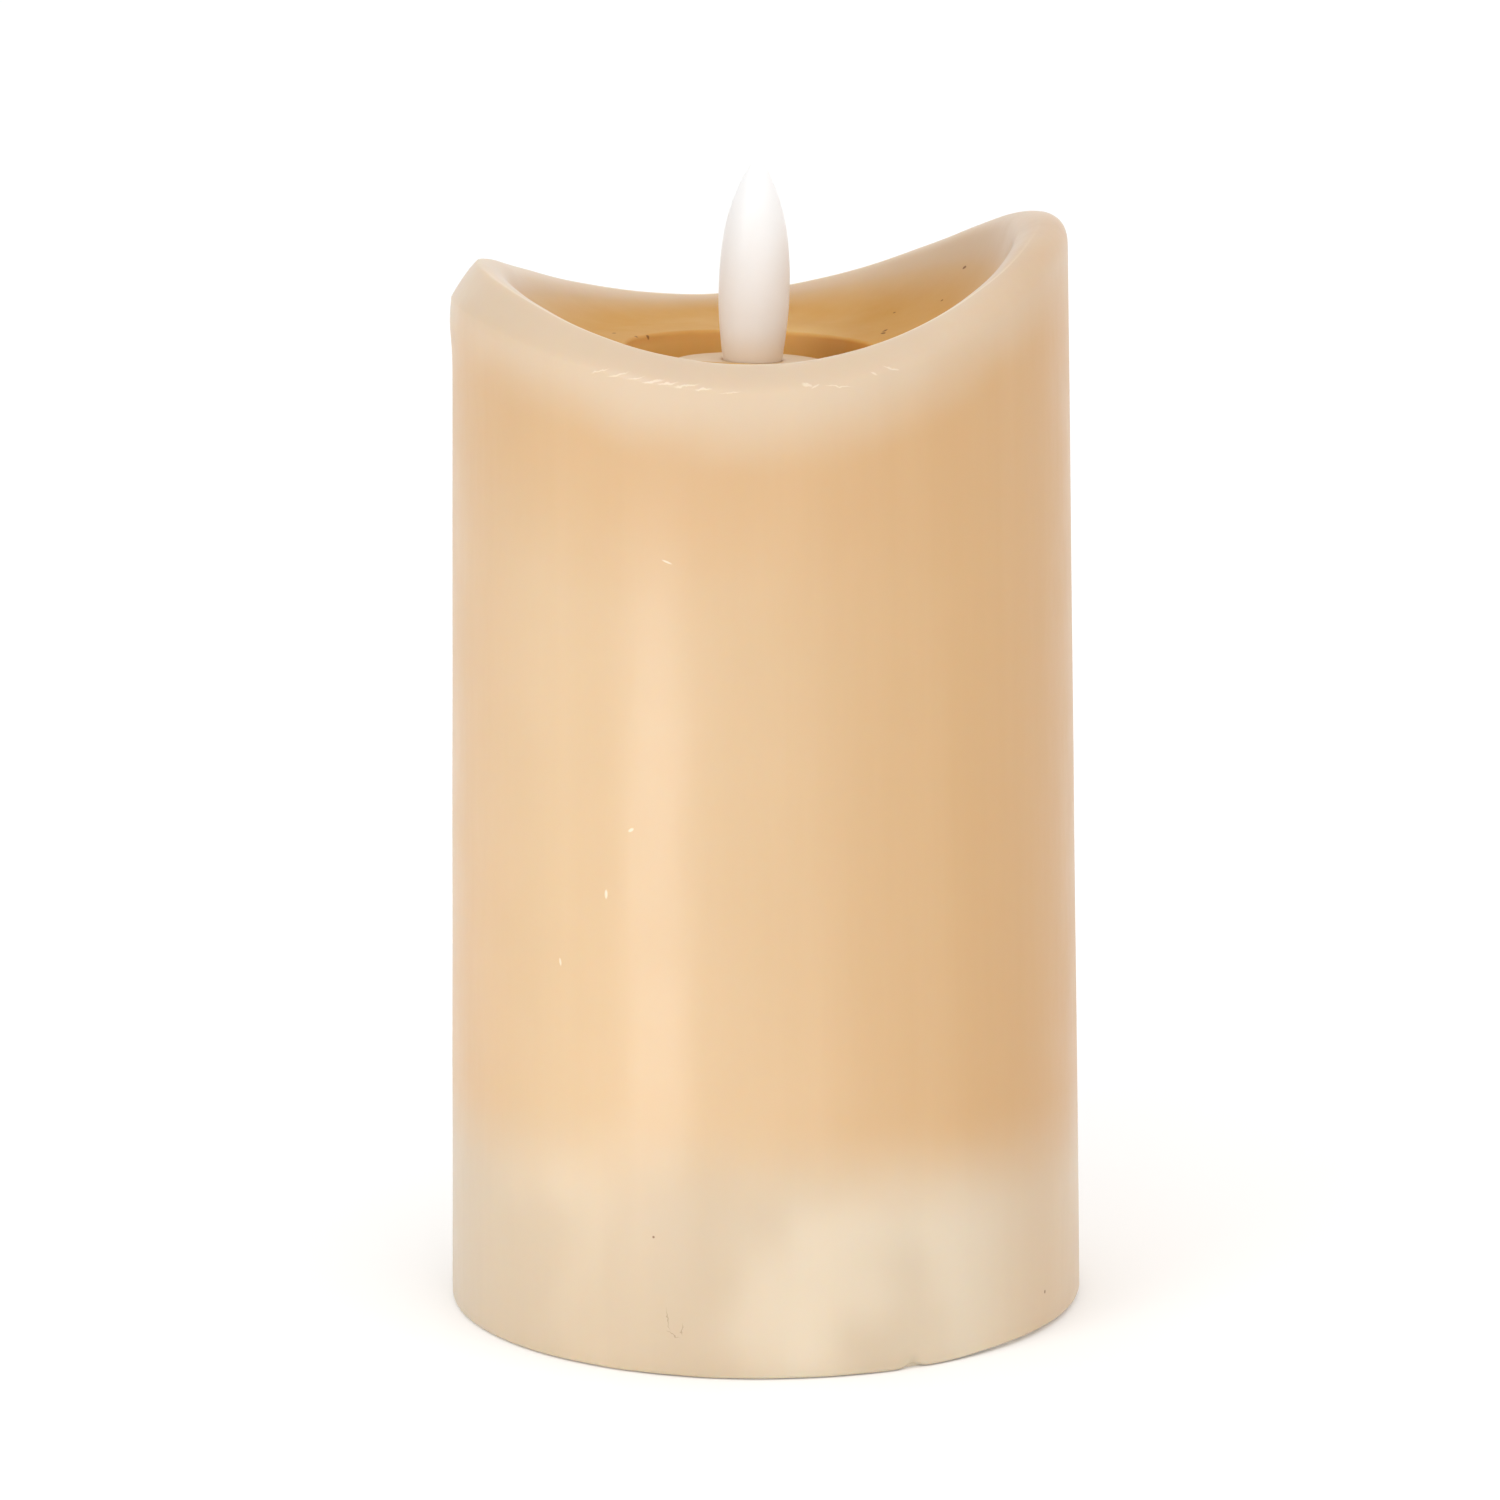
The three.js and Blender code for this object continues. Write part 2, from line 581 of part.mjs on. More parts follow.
function contactPlate(side, y0, y1) {
  const inner = side * CONTACT_X;
  const outer = side * (CONTACT_X + CONTACT_THICKNESS);
  return box(Math.min(inner, outer), Math.max(inner, outer), y0, y1, CELL_Z - 5.6, CELL_Z + 6.4);
}

// A conical spring that presses on a cell's flat end.
function spring(name, side, y) {
  const turns = 2.5;
  const steps = 36;
  const footRadius = 4.4;
  const topRadius = 2.1;
  const fromX = CONTACT_X - GAP - SPRING_WIRE_RADIUS;
  const toX = CELL_LENGTH - CONTACT_X + BUTTON_HEIGHT + 2 * GAP + SPRING_WIRE_RADIUS;
  const points = Array.from({ length: steps + 1 }, (_, i) => {
    const share = i / steps;
    const angle = 2 * Math.PI * turns * share;
    const radius = footRadius + (topRadius - footRadius) * share;
    const x = side * (fromX + (toX - fromX) * share);
    return [x, y + radius * Math.cos(angle), CELL_Z + radius * Math.sin(angle)];
  });
  add(name, wire(points, SPRING_WIRE_RADIUS, 40), material(0xc9ccd0, 0.25, 1));
}

function contacts() {
  const frontY = WELL_Y - CELL_PITCH / 2;
  const backY = WELL_Y + CELL_PITCH / 2;
  const half = 4.5;
  const steel = () => material(0xc9ccd0, 0.3, 1);
  const positive = join(contactPlate(1, frontY - half, frontY + half), button(1, frontY));
  add("positive_contact", positive, steel());
  add("negative_contact", contactPlate(1, backY - half, backY + half), steel());
  add("bridge_contact", join(contactPlate(-1, frontY - 5, backY + 5), button(-1, backY)), steel());
  spring("negative_spring", 1, backY);
  spring("bridge_spring", -1, frontY);
  cell("aa_cell_front", frontY, 1);
  cell("aa_cell_rear", backY, -1);
}

// ---------------------------------------------------------------- battery door
function batteryDoor() {
  const front = WELL_Y - WELL_HALF_WIDTH;
  const back = WELL_Y + WELL_HALF_WIDTH;
  const doorTop = DOOR_Z + DOOR_THICKNESS;
  const tabZ = DISC_TOP_Z + GAP;
  const tabs = SIDES.flatMap((side) => {
    const x0 = side * HINGE_TAB_X - HINGE_TAB_HALF_WIDTH;
    const x1 = side * HINGE_TAB_X + HINGE_TAB_HALF_WIDTH;
    return [
      box(x0, x1, back - 0.4, back + 0.8, doorTop - 0.2, tabZ + 1),
      box(x0, x1, back + 0.7, back + 2.5, tabZ, tabZ + 1),
    ];
  });
  const tongueHalf = LATCH_HALF_WIDTH;
  const noseHalf = LATCH_HALF_WIDTH - 1;
  const tongue = box(-tongueHalf, tongueHalf, front - 0.4, front + 0.5, doorTop - 0.2, LATCH_TOP_Z);
  const nose = box(-noseHalf, noseHalf, front - 0.6, front, LATCH_TOP_Z - 1.2, LATCH_TOP_Z - 0.4);
  const gripRidges = [0, 1, 2].map((i) => {
    const y = front + 2 + 1.6 * i;
    return box(-6, 6, y, y + 0.7, DOOR_Z - 1, DOOR_Z + 0.4);
  });
  const slab = opening(OPENING_MARGIN - 0.1, DOOR_Z, doorTop);
  const door = join(slab, tongue, nose, ...tabs);
  add("battery_door", cut(door, ...gripRidges), material(0xe9dcc6, 0.55));
}

// ---------------------------------------------------------------- board and switch
function controlBoard() {
  const y0 = BOARD_Y - BOARD_HALF_DEPTH;
  const y1 = BOARD_Y + BOARD_HALF_DEPTH;
  const half = BOARD_HALF_WIDTH;
  const board = plate(-half, half, y0, y1, 0.8, BOARD_Z + GAP, BOARD_TOP_Z);
  const [screwX, screwY] = BOARD_SCREW;
  const holes = SIDES.map((side) => rod(side * screwX, screwY, 1.1, BOARD_Z - 1, BOARD_TOP_Z + 1, 16));
  add("control_board", cut(board, ...holes), material(0x2f6b43, 0.5));
}

// A small outline chip: its body with four gull-wing legs along each side.
function timerChip() {
  const [x, y, z] = [-4.5, -20.6, BOARD_TOP_Z + 0.1];
  const pitch = 1.27;
  const legHalf = 0.2;
  const halfLength = 2.5;
  const halfWidth = 1.9;
  const legs = SIDES.flatMap((side) =>
    [-1.5, -0.5, 0.5, 1.5].map((slot) => {
      const legX = x + slot * pitch;
      const near = y + side * (halfWidth - 0.4);
      const far = y + side * (halfWidth + 0.7);
      return box(legX - legHalf, legX + legHalf, Math.min(near, far), Math.max(near, far), z, z + 0.5);
    }),
  );
  const body = box(x - halfLength, x + halfLength, y - halfWidth, y + halfWidth, z + 0.15, z + 1.6);
  add("timer_chip", join(body, ...legs), material(0x1d1e20, 0.5));
}

// A part with a round body lying along X, its two leads bent down to the board.
function lyingPart(name, x, y, radius, halfLength, finish) {
  const z = BOARD_TOP_Z + 0.3 + radius;
  const half = 0.25; // of a lead's thickness
  const body = new THREE.CylinderGeometry(radius, radius, 2 * halfLength, 20);
  body.rotateZ(Math.PI / 2).translate(x, y, z);
  const leads = SIDES.flatMap((side) => {
    const inner = x + side * (halfLength - 0.2);
    const outer = x + side * (halfLength + 1);
    return [
      box(Math.min(inner, outer), Math.max(inner, outer), y - half, y + half, z - half, z + half),
      box(outer - half, outer + half, y - half, y + half, BOARD_TOP_Z + 0.1, z + 0.2),
    ];
  });
  add(name, join(body, ...leads), finish);
}

function capacitor() {
  const [x, y, z] = [8, -26.6, BOARD_TOP_Z + 0.1];
  const profile = [[0, z], [1.8, z], [2, z + 0.3], [2, z + 4.7], [1.7, z + 5], [0, z + 5]];
  add("capacitor", revolve(profile, 24), material(0x23303f, 0.4)).position.set(x, y, 0);
}

// A slide switch: a folded steel frame, the insulating body over it and the sliding knob, whose
// carrier runs inside the frame and whose button reaches down through the disc.
function slideSwitch() {
  const wall = 0.4;
  const halfLength = 6.4;
  const halfWidth = 3;
  const height = 4;
  const insideX = halfLength - wall;
  const insideY = halfWidth - wall;
  const frameZ = DISC_TOP_Z + 1;
  const carrierZ = frameZ + wall + GAP;
  const carrierTop = carrierZ + 1.8;
  const frame = cut(
    box(-halfLength, halfLength, -halfWidth, halfWidth, frameZ, frameZ + height),
    box(-insideX, insideX, -insideY, insideY, frameZ + wall, frameZ + height + 1),
    box(-3.9, 3.9, -1.7, 1.7, frameZ - 1, frameZ + 1),
  );
  add("switch_frame", frame, material(0xc9ccd0, 0.3, 1)).position.set(0, SWITCH_Y, 0);
  const bodyX = insideX - GAP;
  const bodyY = insideY - GAP;
  const block = box(-bodyX, bodyX, -bodyY, bodyY, carrierTop + GAP, BOARD_Z);
  add("switch_body", block, material(0x1d1e20, 0.5)).position.set(0, SWITCH_Y, 0);
  const knobFoot = DISC_UNDERSIDE_Z + 0.15;
  const carrierX = bodyX - SWITCH_TRAVEL - 0.6;
  const grooves = [-0.8, 0, 0.8].map((x) => box(x - 0.15, x + 0.15, -2, 2, 0, knobFoot + 0.35));
  const knob = join(
    box(-carrierX, carrierX, -2.2, 2.2, carrierZ, carrierTop),
    box(-1.6, 1.6, -1.3, 1.3, knobFoot, carrierZ + 0.1),
  );
  add("switch_knob", cut(knob, ...grooves), material(0x1d1e20, 0.45)).position.set(0, SWITCH_Y, 0);
}

// ---------------------------------------------------------------- wires
function leads() {
  const red = () => material(0xb3261e, 0.5);
  const black = () => material(0x1c1c1d, 0.5);
  const padZ = BOARD_TOP_Z + 0.3;
  const topZ = LED_FOOT_Z - 0.3;
  // From the board up through the lid, along the front of the cavity and in under the flame.
  const flameLead = (side) => [
    [2.4 + 1.8 * side, -25.6, padZ],
    [2.4 + 1.7 * side, -25.5, 17],
    [2.4 + 1.4 * side, -25.4, 28],
    [2.1 + 1.3 * side, -25.6, 44],
    [1.2 + 1.3 * side, -23, 62],
    [-0.6 + 1.3 * side, -15, 78],
    [-1.7 + 1.27 * side, -4.5, 89],
    leaned((side * LED_PITCH) / 2, -0.4, topZ - 6),
    leaned((side * LED_PITCH) / 2, 0, topZ - PLUG_HEIGHT),
    leaned((side * LED_PITCH) / 2, 0, topZ),
  ];
  add("flame_lead_red", wire(flameLead(1), WIRE_RADIUS, 40), red());
  add("flame_lead_black", wire(flameLead(-1), WIRE_RADIUS, 40), black());

  const x = CONTACT_X - 0.2;
  const startZ = CELL_Z + 6.7;
  const batteryRed = [
    [x, WELL_Y - CELL_PITCH / 2, startZ],
    [x, WELL_Y - CELL_PITCH / 2, 20],
    [24.5, -9.5, 22.6],
    [17.5, -15.5, 22.6],
    [11, -20.5, 19],
    [8.6, -22.9, 14],
    [8.4, -23, padZ],
  ];
  const batteryBlack = [
    [x, WELL_Y + CELL_PITCH / 2, startZ],
    [x, WELL_Y + CELL_PITCH / 2, 20],
    [23, 3, 23],
    [15, -10, 23.4],
    [7.5, -17.6, 20.5],
    [4.8, -19.3, 15],
    [4.6, -19.4, padZ],
  ];
  add("battery_lead_red", wire(batteryRed, WIRE_RADIUS, 24), red());
  add("battery_lead_black", wire(batteryBlack, WIRE_RADIUS, 28), black());
}

// ---------------------------------------------------------------- the candle
waxShell();
flameCollar();
flameBulb();
flameLed();
ledPlug();
baseBody();
baseLid();
LID_SCREWS.forEach(([x, y], i) =>
  screw(`lid_screw_${i + 1}`, x, y, LID_Z + LID_THICKNESS + 0.1, 2.4, 1.15, 9),
);
contacts();
batteryDoor();
controlBoard();
SIDES.forEach((side, i) => {
  const [x, y] = BOARD_SCREW;
  screw(`board_screw_${i + 1}`, side * x, y, BOARD_TOP_Z + 0.1, 1.7, 0.75, 6);
});
timerChip();
lyingPart("timer_crystal", -5, -24.7, 1, 2.6, material(0xc9ccd0, 0.25, 1));
lyingPart("resistor", -5, -27.6, 0.9, 1.9, material(0xc8a777, 0.5));
capacitor();
slideSwitch();
leads();

export default candle;
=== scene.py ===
"""A flameless pillar candle of real wax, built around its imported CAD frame.

The wax shell, flame and collar are made again here as finer meshes, and the other CAD nodes keep
their shape and get rounded edges and materials. Lengths in the shape functions and in the tables
of marks are in millimetres, and MM turns them into the scene's metres. Lengths in the materials,
the floor, the lights and the camera are in metres.
"""

import json
import math

import bpy
import numpy as np
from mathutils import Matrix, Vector, noise


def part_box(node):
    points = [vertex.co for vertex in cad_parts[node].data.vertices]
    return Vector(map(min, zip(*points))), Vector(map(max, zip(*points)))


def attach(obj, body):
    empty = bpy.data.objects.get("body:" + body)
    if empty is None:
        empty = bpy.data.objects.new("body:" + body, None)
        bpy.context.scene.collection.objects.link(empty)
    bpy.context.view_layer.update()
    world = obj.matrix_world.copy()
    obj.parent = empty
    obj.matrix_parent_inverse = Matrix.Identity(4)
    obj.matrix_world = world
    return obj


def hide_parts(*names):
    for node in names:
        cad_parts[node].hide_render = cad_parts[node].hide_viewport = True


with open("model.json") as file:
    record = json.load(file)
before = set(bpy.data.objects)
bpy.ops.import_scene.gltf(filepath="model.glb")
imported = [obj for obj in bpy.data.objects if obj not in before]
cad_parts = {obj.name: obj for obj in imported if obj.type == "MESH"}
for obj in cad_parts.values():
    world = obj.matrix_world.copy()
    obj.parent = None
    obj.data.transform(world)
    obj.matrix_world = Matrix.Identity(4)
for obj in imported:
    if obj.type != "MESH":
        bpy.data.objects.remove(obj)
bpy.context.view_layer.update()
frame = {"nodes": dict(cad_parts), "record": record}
MM = 0.001
FRONT = -math.pi / 2  # the angle, about Z, of the side that faces -Y
WHITE = (1, 1, 1, 1)


# ---------------------------------------------------------------- node helpers
class Finish:
    """A node material, with short calls for the nodes that the finishes share."""

    def __init__(self, name, roughness=0.5, metallic=0.0):
        self.material = bpy.data.materials.new(name)
        self.material.use_nodes = True
        self.tree = self.material.node_tree
        self.shader = self.tree.nodes["Principled BSDF"]
        self.shader.inputs["Roughness"].default_value = roughness
        self.shader.inputs["Metallic"].default_value = metallic
        self.coords = self.node("ShaderNodeTexCoord").outputs["Object"]

    def node(self, kind, **settings):
        made = self.tree.nodes.new(kind)
        for key, value in settings.items():
            setattr(made, key, value)
        return made

    def feed(self, socket, value):
        if isinstance(value, bpy.types.NodeSocket):
            self.tree.links.new(value, socket)
        else:
            socket.default_value = value

    def stretched(self, scale):
        made = self.node("ShaderNodeMapping")
        self.feed(made.inputs["Vector"], self.coords)
        made.inputs["Scale"].default_value = scale
        return made.outputs["Vector"]

    def noise(self, scale, detail=2.0, roughness=0.5, vector=None):
        made = self.node("ShaderNodeTexNoise")
        self.feed(made.inputs["Vector"], vector or self.coords)
        made.inputs["Scale"].default_value = scale
        made.inputs["Detail"].default_value = detail
        made.inputs["Roughness"].default_value = roughness
        return made.outputs["Fac"]

    def cells(self, scale, feature):
        made = self.node("ShaderNodeTexVoronoi", feature=feature)
        self.feed(made.inputs["Vector"], self.coords)
        made.inputs["Scale"].default_value = scale
        return made.outputs["Distance"]

    def math(self, operation, a, b=0.0):
        made = self.node("ShaderNodeMath", operation=operation)
        self.feed(made.inputs[0], a)
        self.feed(made.inputs[1], b)
        return made.outputs[0]

    def span(self, value, low, high, to_low=0.0, to_high=1.0):
        """Eases from `to_low`, where the value is `low`, to `to_high`, where it is `high`."""
        made = self.node("ShaderNodeMapRange", interpolation_type="SMOOTHSTEP")
        self.feed(made.inputs["Value"], value)
        ends = {"From Min": low, "From Max": high, "To Min": to_low, "To Max": to_high}
        for key, number in ends.items():
            made.inputs[key].default_value = number
        return made.outputs["Result"]

    def mix(self, share, a, b):
        made = self.node("ShaderNodeMix", data_type="RGBA")
        self.feed(made.inputs["Factor"], share)
        self.feed(made.inputs[6], a)
        self.feed(made.inputs[7], b)
        return made.outputs[2]

    def axis(self, letter):
        made = self.node("ShaderNodeSeparateXYZ")
        self.feed(made.inputs[0], self.coords)
        return made.outputs[letter]

    def vector(self, operation, a, b=None, c=None):
        made = self.node("ShaderNodeVectorMath", operation=operation)
        for socket, value in zip(made.inputs, (a, b, c)):
            if value is not None:
                self.feed(socket, value)
        return made.outputs["Value" if operation == "LENGTH" else "Vector"]

    def attribute(self, name):
        return self.node("ShaderNodeAttribute", attribute_name=name).outputs["Fac"]

    def bump(self, height, distance, strength=1.0, under=None):
        made = self.node("ShaderNodeBump")
        self.feed(made.inputs["Height"], height)
        made.inputs["Distance"].default_value = distance
        made.inputs["Strength"].default_value = strength
        if under:
            self.feed(made.inputs["Normal"], under)
        return made.outputs["Normal"]

    def set(self, **sockets):
        for key, value in sockets.items():
            self.feed(self.shader.inputs[key.replace("_", " ")], value)
        return self.material


def rgb(red, green, blue):
    """An sRGB colour, from 0 to 255, as the linear colour that a shader takes."""

    def linear(value):
        share = value / 255
        return share / 12.92 if share <= 0.04045 else ((share + 0.055) / 1.055) ** 2.4

    return (linear(red), linear(green), linear(blue), 1.0)


# ---------------------------------------------------------------- finishes
WAX_BODY = rgb(202, 172, 133), rgb(207, 178, 141)
# Deeper tone for the right of the wall: partly the wax's own colour, partly painted shade.
WAX_RIGHT_DEEP_AND_SHADE = rgb(204, 162, 109)
# Amber of the wax below the rim, also used as painted shade at the left edge.
WAX_AMBER_AND_EDGE_SHADE = rgb(201, 159, 109)
# Darker tone for the right of the wall and rim: painted shade, with some of the wax's own deeper colour.
WAX_RIGHT_TINT_AND_SHADE = rgb(186, 142, 92)
WAX_RIM = rgb(209, 187, 160)
# Painted highlight: the thin bright line where the crest's inner edge catches the light.
WAX_EDGE_HIGHLIGHT = rgb(252, 240, 214)
WAX_FOOT = rgb(196, 176, 149), rgb(214, 198, 174)
# Deeper tone for the right of the foot: partly the wax's own colour, partly painted shade.
WAX_FOOT_RIGHT_DEEP_AND_SHADE = rgb(200, 174, 142)
WAX_POOL = rgb(194, 142, 70)
WAX_MOAT = rgb(216, 172, 100)
WAX_STREAK = rgb(240, 216, 180)
WAX_BLOOM = rgb(248, 238, 222)
WAX_SOOT = rgb(110, 68, 34)

# Marks on the wall: degrees from the front, height above the table, length, width, and tilt in
# degrees. The scuffs run along the front of the rim, where the candle has been handled.
RIM_SCUFFS = [
    (-30.0, 119.9, 3.0, 0.22, 16),
    (-26.5, 119.6, 3.4, 0.26, 12),
    (-22.8, 119.3, 2.6, 0.20, 12),
    (-19.5, 118.95, 3.4, 0.36, 9),
    (-16.8, 118.8, 3.0, 0.30, 6),
    (-13.4, 118.6, 3.6, 0.26, 8),
    (-10.3, 118.25, 2.4, 0.34, 5),
    (-5.5, 117.95, 3.0, 0.16, 2),
    (8.2, 118.7, 1.5, 0.5, -20),
    (9.6, 118.5, 1.4, 0.3, 25),
    (14.0, 118.5, 4.0, 0.18, -4),
    (20.6, 119.7, 1.1, 0.3, -18),
    (24.0, 120.25, 2.6, 0.26, -20),
]
NICKS = [
    (-17, 98.0, 1.6, 0.3, -20),
    (-29, 58.0, 0.5, 1.4, 0),
    (-24, 66.0, 1.0, 0.5, 30),
    (-39, 49.0, 0.4, 1.2, 10),
]
SPECKS = [(-20, 17.0, 0.4, 0.4, 0), (60.3, 4.9, 0.5, 0.6, 0)]
SCRATCHES = [(-17.5, 7.2, 0.2, 3.4, 8), (-16.5, 5.4, 2.2, 0.2, -25), (-14.8, 5.9, 0.2, 1.6, -12)]
# Specks in the pool: degrees from the front, radius, height, width and depth.
POOL_SPECKS = [
    (245.1, 19.8, 119.0, 0.9, 0.5),
    (246.3, 16.6, 118.7, 0.6, 0.5),
    (238.1, 16.3, 118.5, 0.8, 0.4),
    (126.8, 18.8, 118.5, 0.9, 0.8),
    (128.6, 19.6, 118.7, 0.6, 1.1),
    (136.5, 24.1, 120.3, 0.5, 0.4),
    (121.1, 29.4, 126.0, 1.0, 0.4),
    (120.3, 25.9, 122.4, 0.6, 0.4),
]


def outer_radius(z):
    return FOOT_RADIUS - WALL_TAPER * z


def wall_marks(finish, rows, warp=0.0):
    """Small marks on the outer wall, deep enough to reach it wherever it bulges."""
    depth = 6.0
    placed = [
        (degrees, outer_radius(height), height, (length, depth, width), tilt)
        for degrees, height, length, width, tilt in rows
    ]
    return marks(finish, placed, warp)


def pool_marks(finish, rows, warp=0.0):
    """Small marks on the sloping pool."""
    tallness = 1.2
    placed = [
        (degrees, radius, height, (width, depth, tallness), 0)
        for degrees, radius, height, width, depth in rows
    ]
    return marks(finish, placed, warp)


def marks(finish, rows, warp):
    """How far each point lies in a small mark, an ellipsoid at an angle from the front, a radius
    and a height, with its three widths and its tilt. `warp`, in metres, makes the edges ragged."""
    ragged_scale = 1100.0
    coords = finish.coords
    if warp:
        wander = finish.node("ShaderNodeTexNoise")
        finish.feed(wander.inputs["Vector"], finish.coords)
        wander.inputs["Scale"].default_value = ragged_scale
        shift = finish.vector("MULTIPLY_ADD", wander.outputs["Color"], (warp,) * 3, (-warp / 2,) * 3)
        coords = finish.vector("ADD", finish.coords, shift)
    total = 0.0
    for degrees, radius, height, widths, tilt in rows:
        angle = FRONT + math.radians(degrees)
        local = finish.node("ShaderNodeMapping", vector_type="TEXTURE")
        finish.feed(local.inputs["Vector"], coords)
        centre = (radius * math.cos(angle) * MM, radius * math.sin(angle) * MM, height * MM)
        local.inputs["Location"].default_value = centre
        local.inputs["Rotation"].default_value = (0, -math.radians(tilt), math.radians(degrees))
        local.inputs["Scale"].default_value = [width * MM / 2 for width in widths]
        away = finish.vector("LENGTH", local.outputs["Vector"])
        total = finish.math("MAXIMUM", total, finish.span(away, 1.0, 0.45))
    return total


def wax_colour(wax, cloud):
    """Pale at the rim and foot, amber below the rim, deeper to the right partly in painted shade, darker
    at the left edge in painted shade, dark in the pool, with a painted highlight along the crest's inner
    edge.
    """
    below_rim = wax.attribute("below_rim")
    height = wax.axis("Z")
    across = wax.axis("X")
    wobble = wax.math("MULTIPLY", wax.math("SUBTRACT", cloud, 0.5), 0.016)

    body = wax.mix(wax.span(cloud, 0.3, 0.7), WAX_BODY[0], WAX_BODY[1])
    # Deeper to the right: partly the wax's own colour, partly painted shade.
    body = wax.mix(wax.span(across, -0.012, 0.036), body, WAX_RIGHT_DEEP_AND_SHADE)
    # Painted shade: the left edge of the wall darkens towards amber.
    body = wax.mix(wax.span(across, -0.026, -0.038, 0.0, 0.6), body, WAX_AMBER_AND_EDGE_SHADE)
    rim_depth = wax.math("ADD", below_rim, wobble)
    amber = wax.span(rim_depth, 0.034, 0.014)
    body = wax.mix(wax.math("MULTIPLY", amber, 0.5), body, WAX_AMBER_AND_EDGE_SHADE)
    rim = wax.span(rim_depth, 0.0125, 0.002)
    body = wax.mix(rim, body, WAX_RIM)
    # Painted shade darkens the right of the wall and rim, with some of the wax's own deeper colour.
    body = wax.mix(wax.span(across, 0.020, 0.038, 0.0, 0.45), body, WAX_RIGHT_TINT_AND_SHADE)

    foot_tilt = wax.math("MULTIPLY", wax.math("ABSOLUTE", across), 0.06)
    foot_height = wax.math("ADD", wax.math("ADD", height, foot_tilt), wax.math("MULTIPLY", wobble, 0.8))
    foot = wax.span(foot_height, 0.0335, 0.0185)
    blotch = wax.noise(46.0, 2.0, 0.5, wax.stretched((1.0, 1.0, 0.7)))
    paleness = wax.math("ADD", blotch, wax.math("MULTIPLY", across, 6.0))
    foot_colour = wax.mix(wax.span(paleness, 0.3, 0.72), WAX_FOOT[0], WAX_FOOT[1])
    # The right of the foot deepens: partly its own colour, partly painted shade.
    foot_colour = wax.mix(wax.span(across, 0.022, 0.036), foot_colour, WAX_FOOT_RIGHT_DEEP_AND_SHADE)
    body = wax.mix(foot, body, foot_colour)
    # Painted highlight along the crest's inner edge.
    body = wax.mix(wax.math("MULTIPLY", wax.attribute("inner_edge_highlight"), 0.8), body, WAX_EDGE_HIGHLIGHT)

    body = wax.mix(wax.attribute("pool_depth"), body, WAX_POOL)
    moat = wax.mix(wax.span(across, 0.002, 0.012), WAX_MOAT, WAX_POOL)
    body = wax.mix(wax.attribute("moat"), body, moat)
    streak = wax.noise(60.0, 4.0, 0.6, wax.stretched((1.0, 1.0, 0.04)))
    return wax.mix(wax.span(streak, 0.35, 0.75, 0.0, 0.10), body, WAX_STREAK)


def wax_wear(wax):
    """The shares of white bloom, in scuffs and nicks, and of soot, in specks and scratches."""
    scuffs = wax.math("MULTIPLY", wall_marks(wax, RIM_SCUFFS, 0.0006), 0.34)
    bloom = wax.math("MAXIMUM", scuffs, wax.math("MULTIPLY", wall_marks(wax, NICKS), 0.45))
    soot = wax.math("MAXIMUM", wall_marks(wax, SPECKS), pool_marks(wax, POOL_SPECKS, 0.0005))
    scratches = wax.math("MULTIPLY", wall_marks(wax, SCRATCHES, 0.0012), 0.45)
    return bloom, wax.math("MULTIPLY", wax.math("MAXIMUM", soot, scratches), 0.85)


def wax_finish():
    """Cast wax with a waxy sheen, which is lost where the pool looks melted."""
    wax = Finish("wax")
    body = wax_colour(wax, wax.noise(22.0, 3.0, 0.55))
    bloom, soot = wax_wear(wax)
    body = wax.mix(bloom, body, WAX_BLOOM)
    body = wax.mix(soot, body, WAX_SOOT)

    grain = wax.noise(700.0, 2.0, 0.5)
    ripple = wax.noise(140.0, 3.0, 0.5, wax.stretched((1.0, 1.0, 0.25)))
    normal = wax.bump(ripple, 0.0004, 0.3)
    normal = wax.bump(grain, 0.00002, 0.4, normal)
    normal = wax.bump(bloom, 0.00008, 0.6, normal)
    roughness = wax.span(wax.noise(75.0, 4.0, 0.6), 0.3, 0.7, 0.29, 0.36)
    melted = wax.span(wax.attribute("pool_depth"), 0.05, 0.6)
    return wax.set(
        Base_Color=body,
        Roughness=wax.math("ADD", roughness, wax.math("MULTIPLY", melted, 0.3)),
        Normal=normal,
        Subsurface_Weight=0.5,
        Subsurface_Radius=(1.0, 0.55, 0.28),
        Subsurface_Scale=0.003,
        Specular_IOR_Level=wax.span(melted, 0.0, 1.0, 0.6, 0.1),
    )


def flame_finish():
    """Opal plastic: milky white, warmer towards its foot."""
    opal = Finish("flame_opal")
    foot = opal.span(opal.axis("Z"), 0.1222, 0.1158)
    cloud = opal.noise(160.0, 2.0)
    white = opal.mix(opal.span(cloud, 0.3, 0.7), rgb(250, 251, 252), rgb(252, 253, 254))
    colour = opal.mix(foot, white, rgb(240, 222, 202))
    frost = opal.bump(opal.noise(1600.0, 2.0), 0.00003, 0.35)
    return opal.set(
        Base_Color=colour,
        Roughness=opal.span(cloud, 0.3, 0.7, 0.30, 0.38),
        Normal=frost,
        Subsurface_Weight=0.4,
        Subsurface_Radius=(1.0, 0.95, 0.9),
        Subsurface_Scale=0.0015,
    )


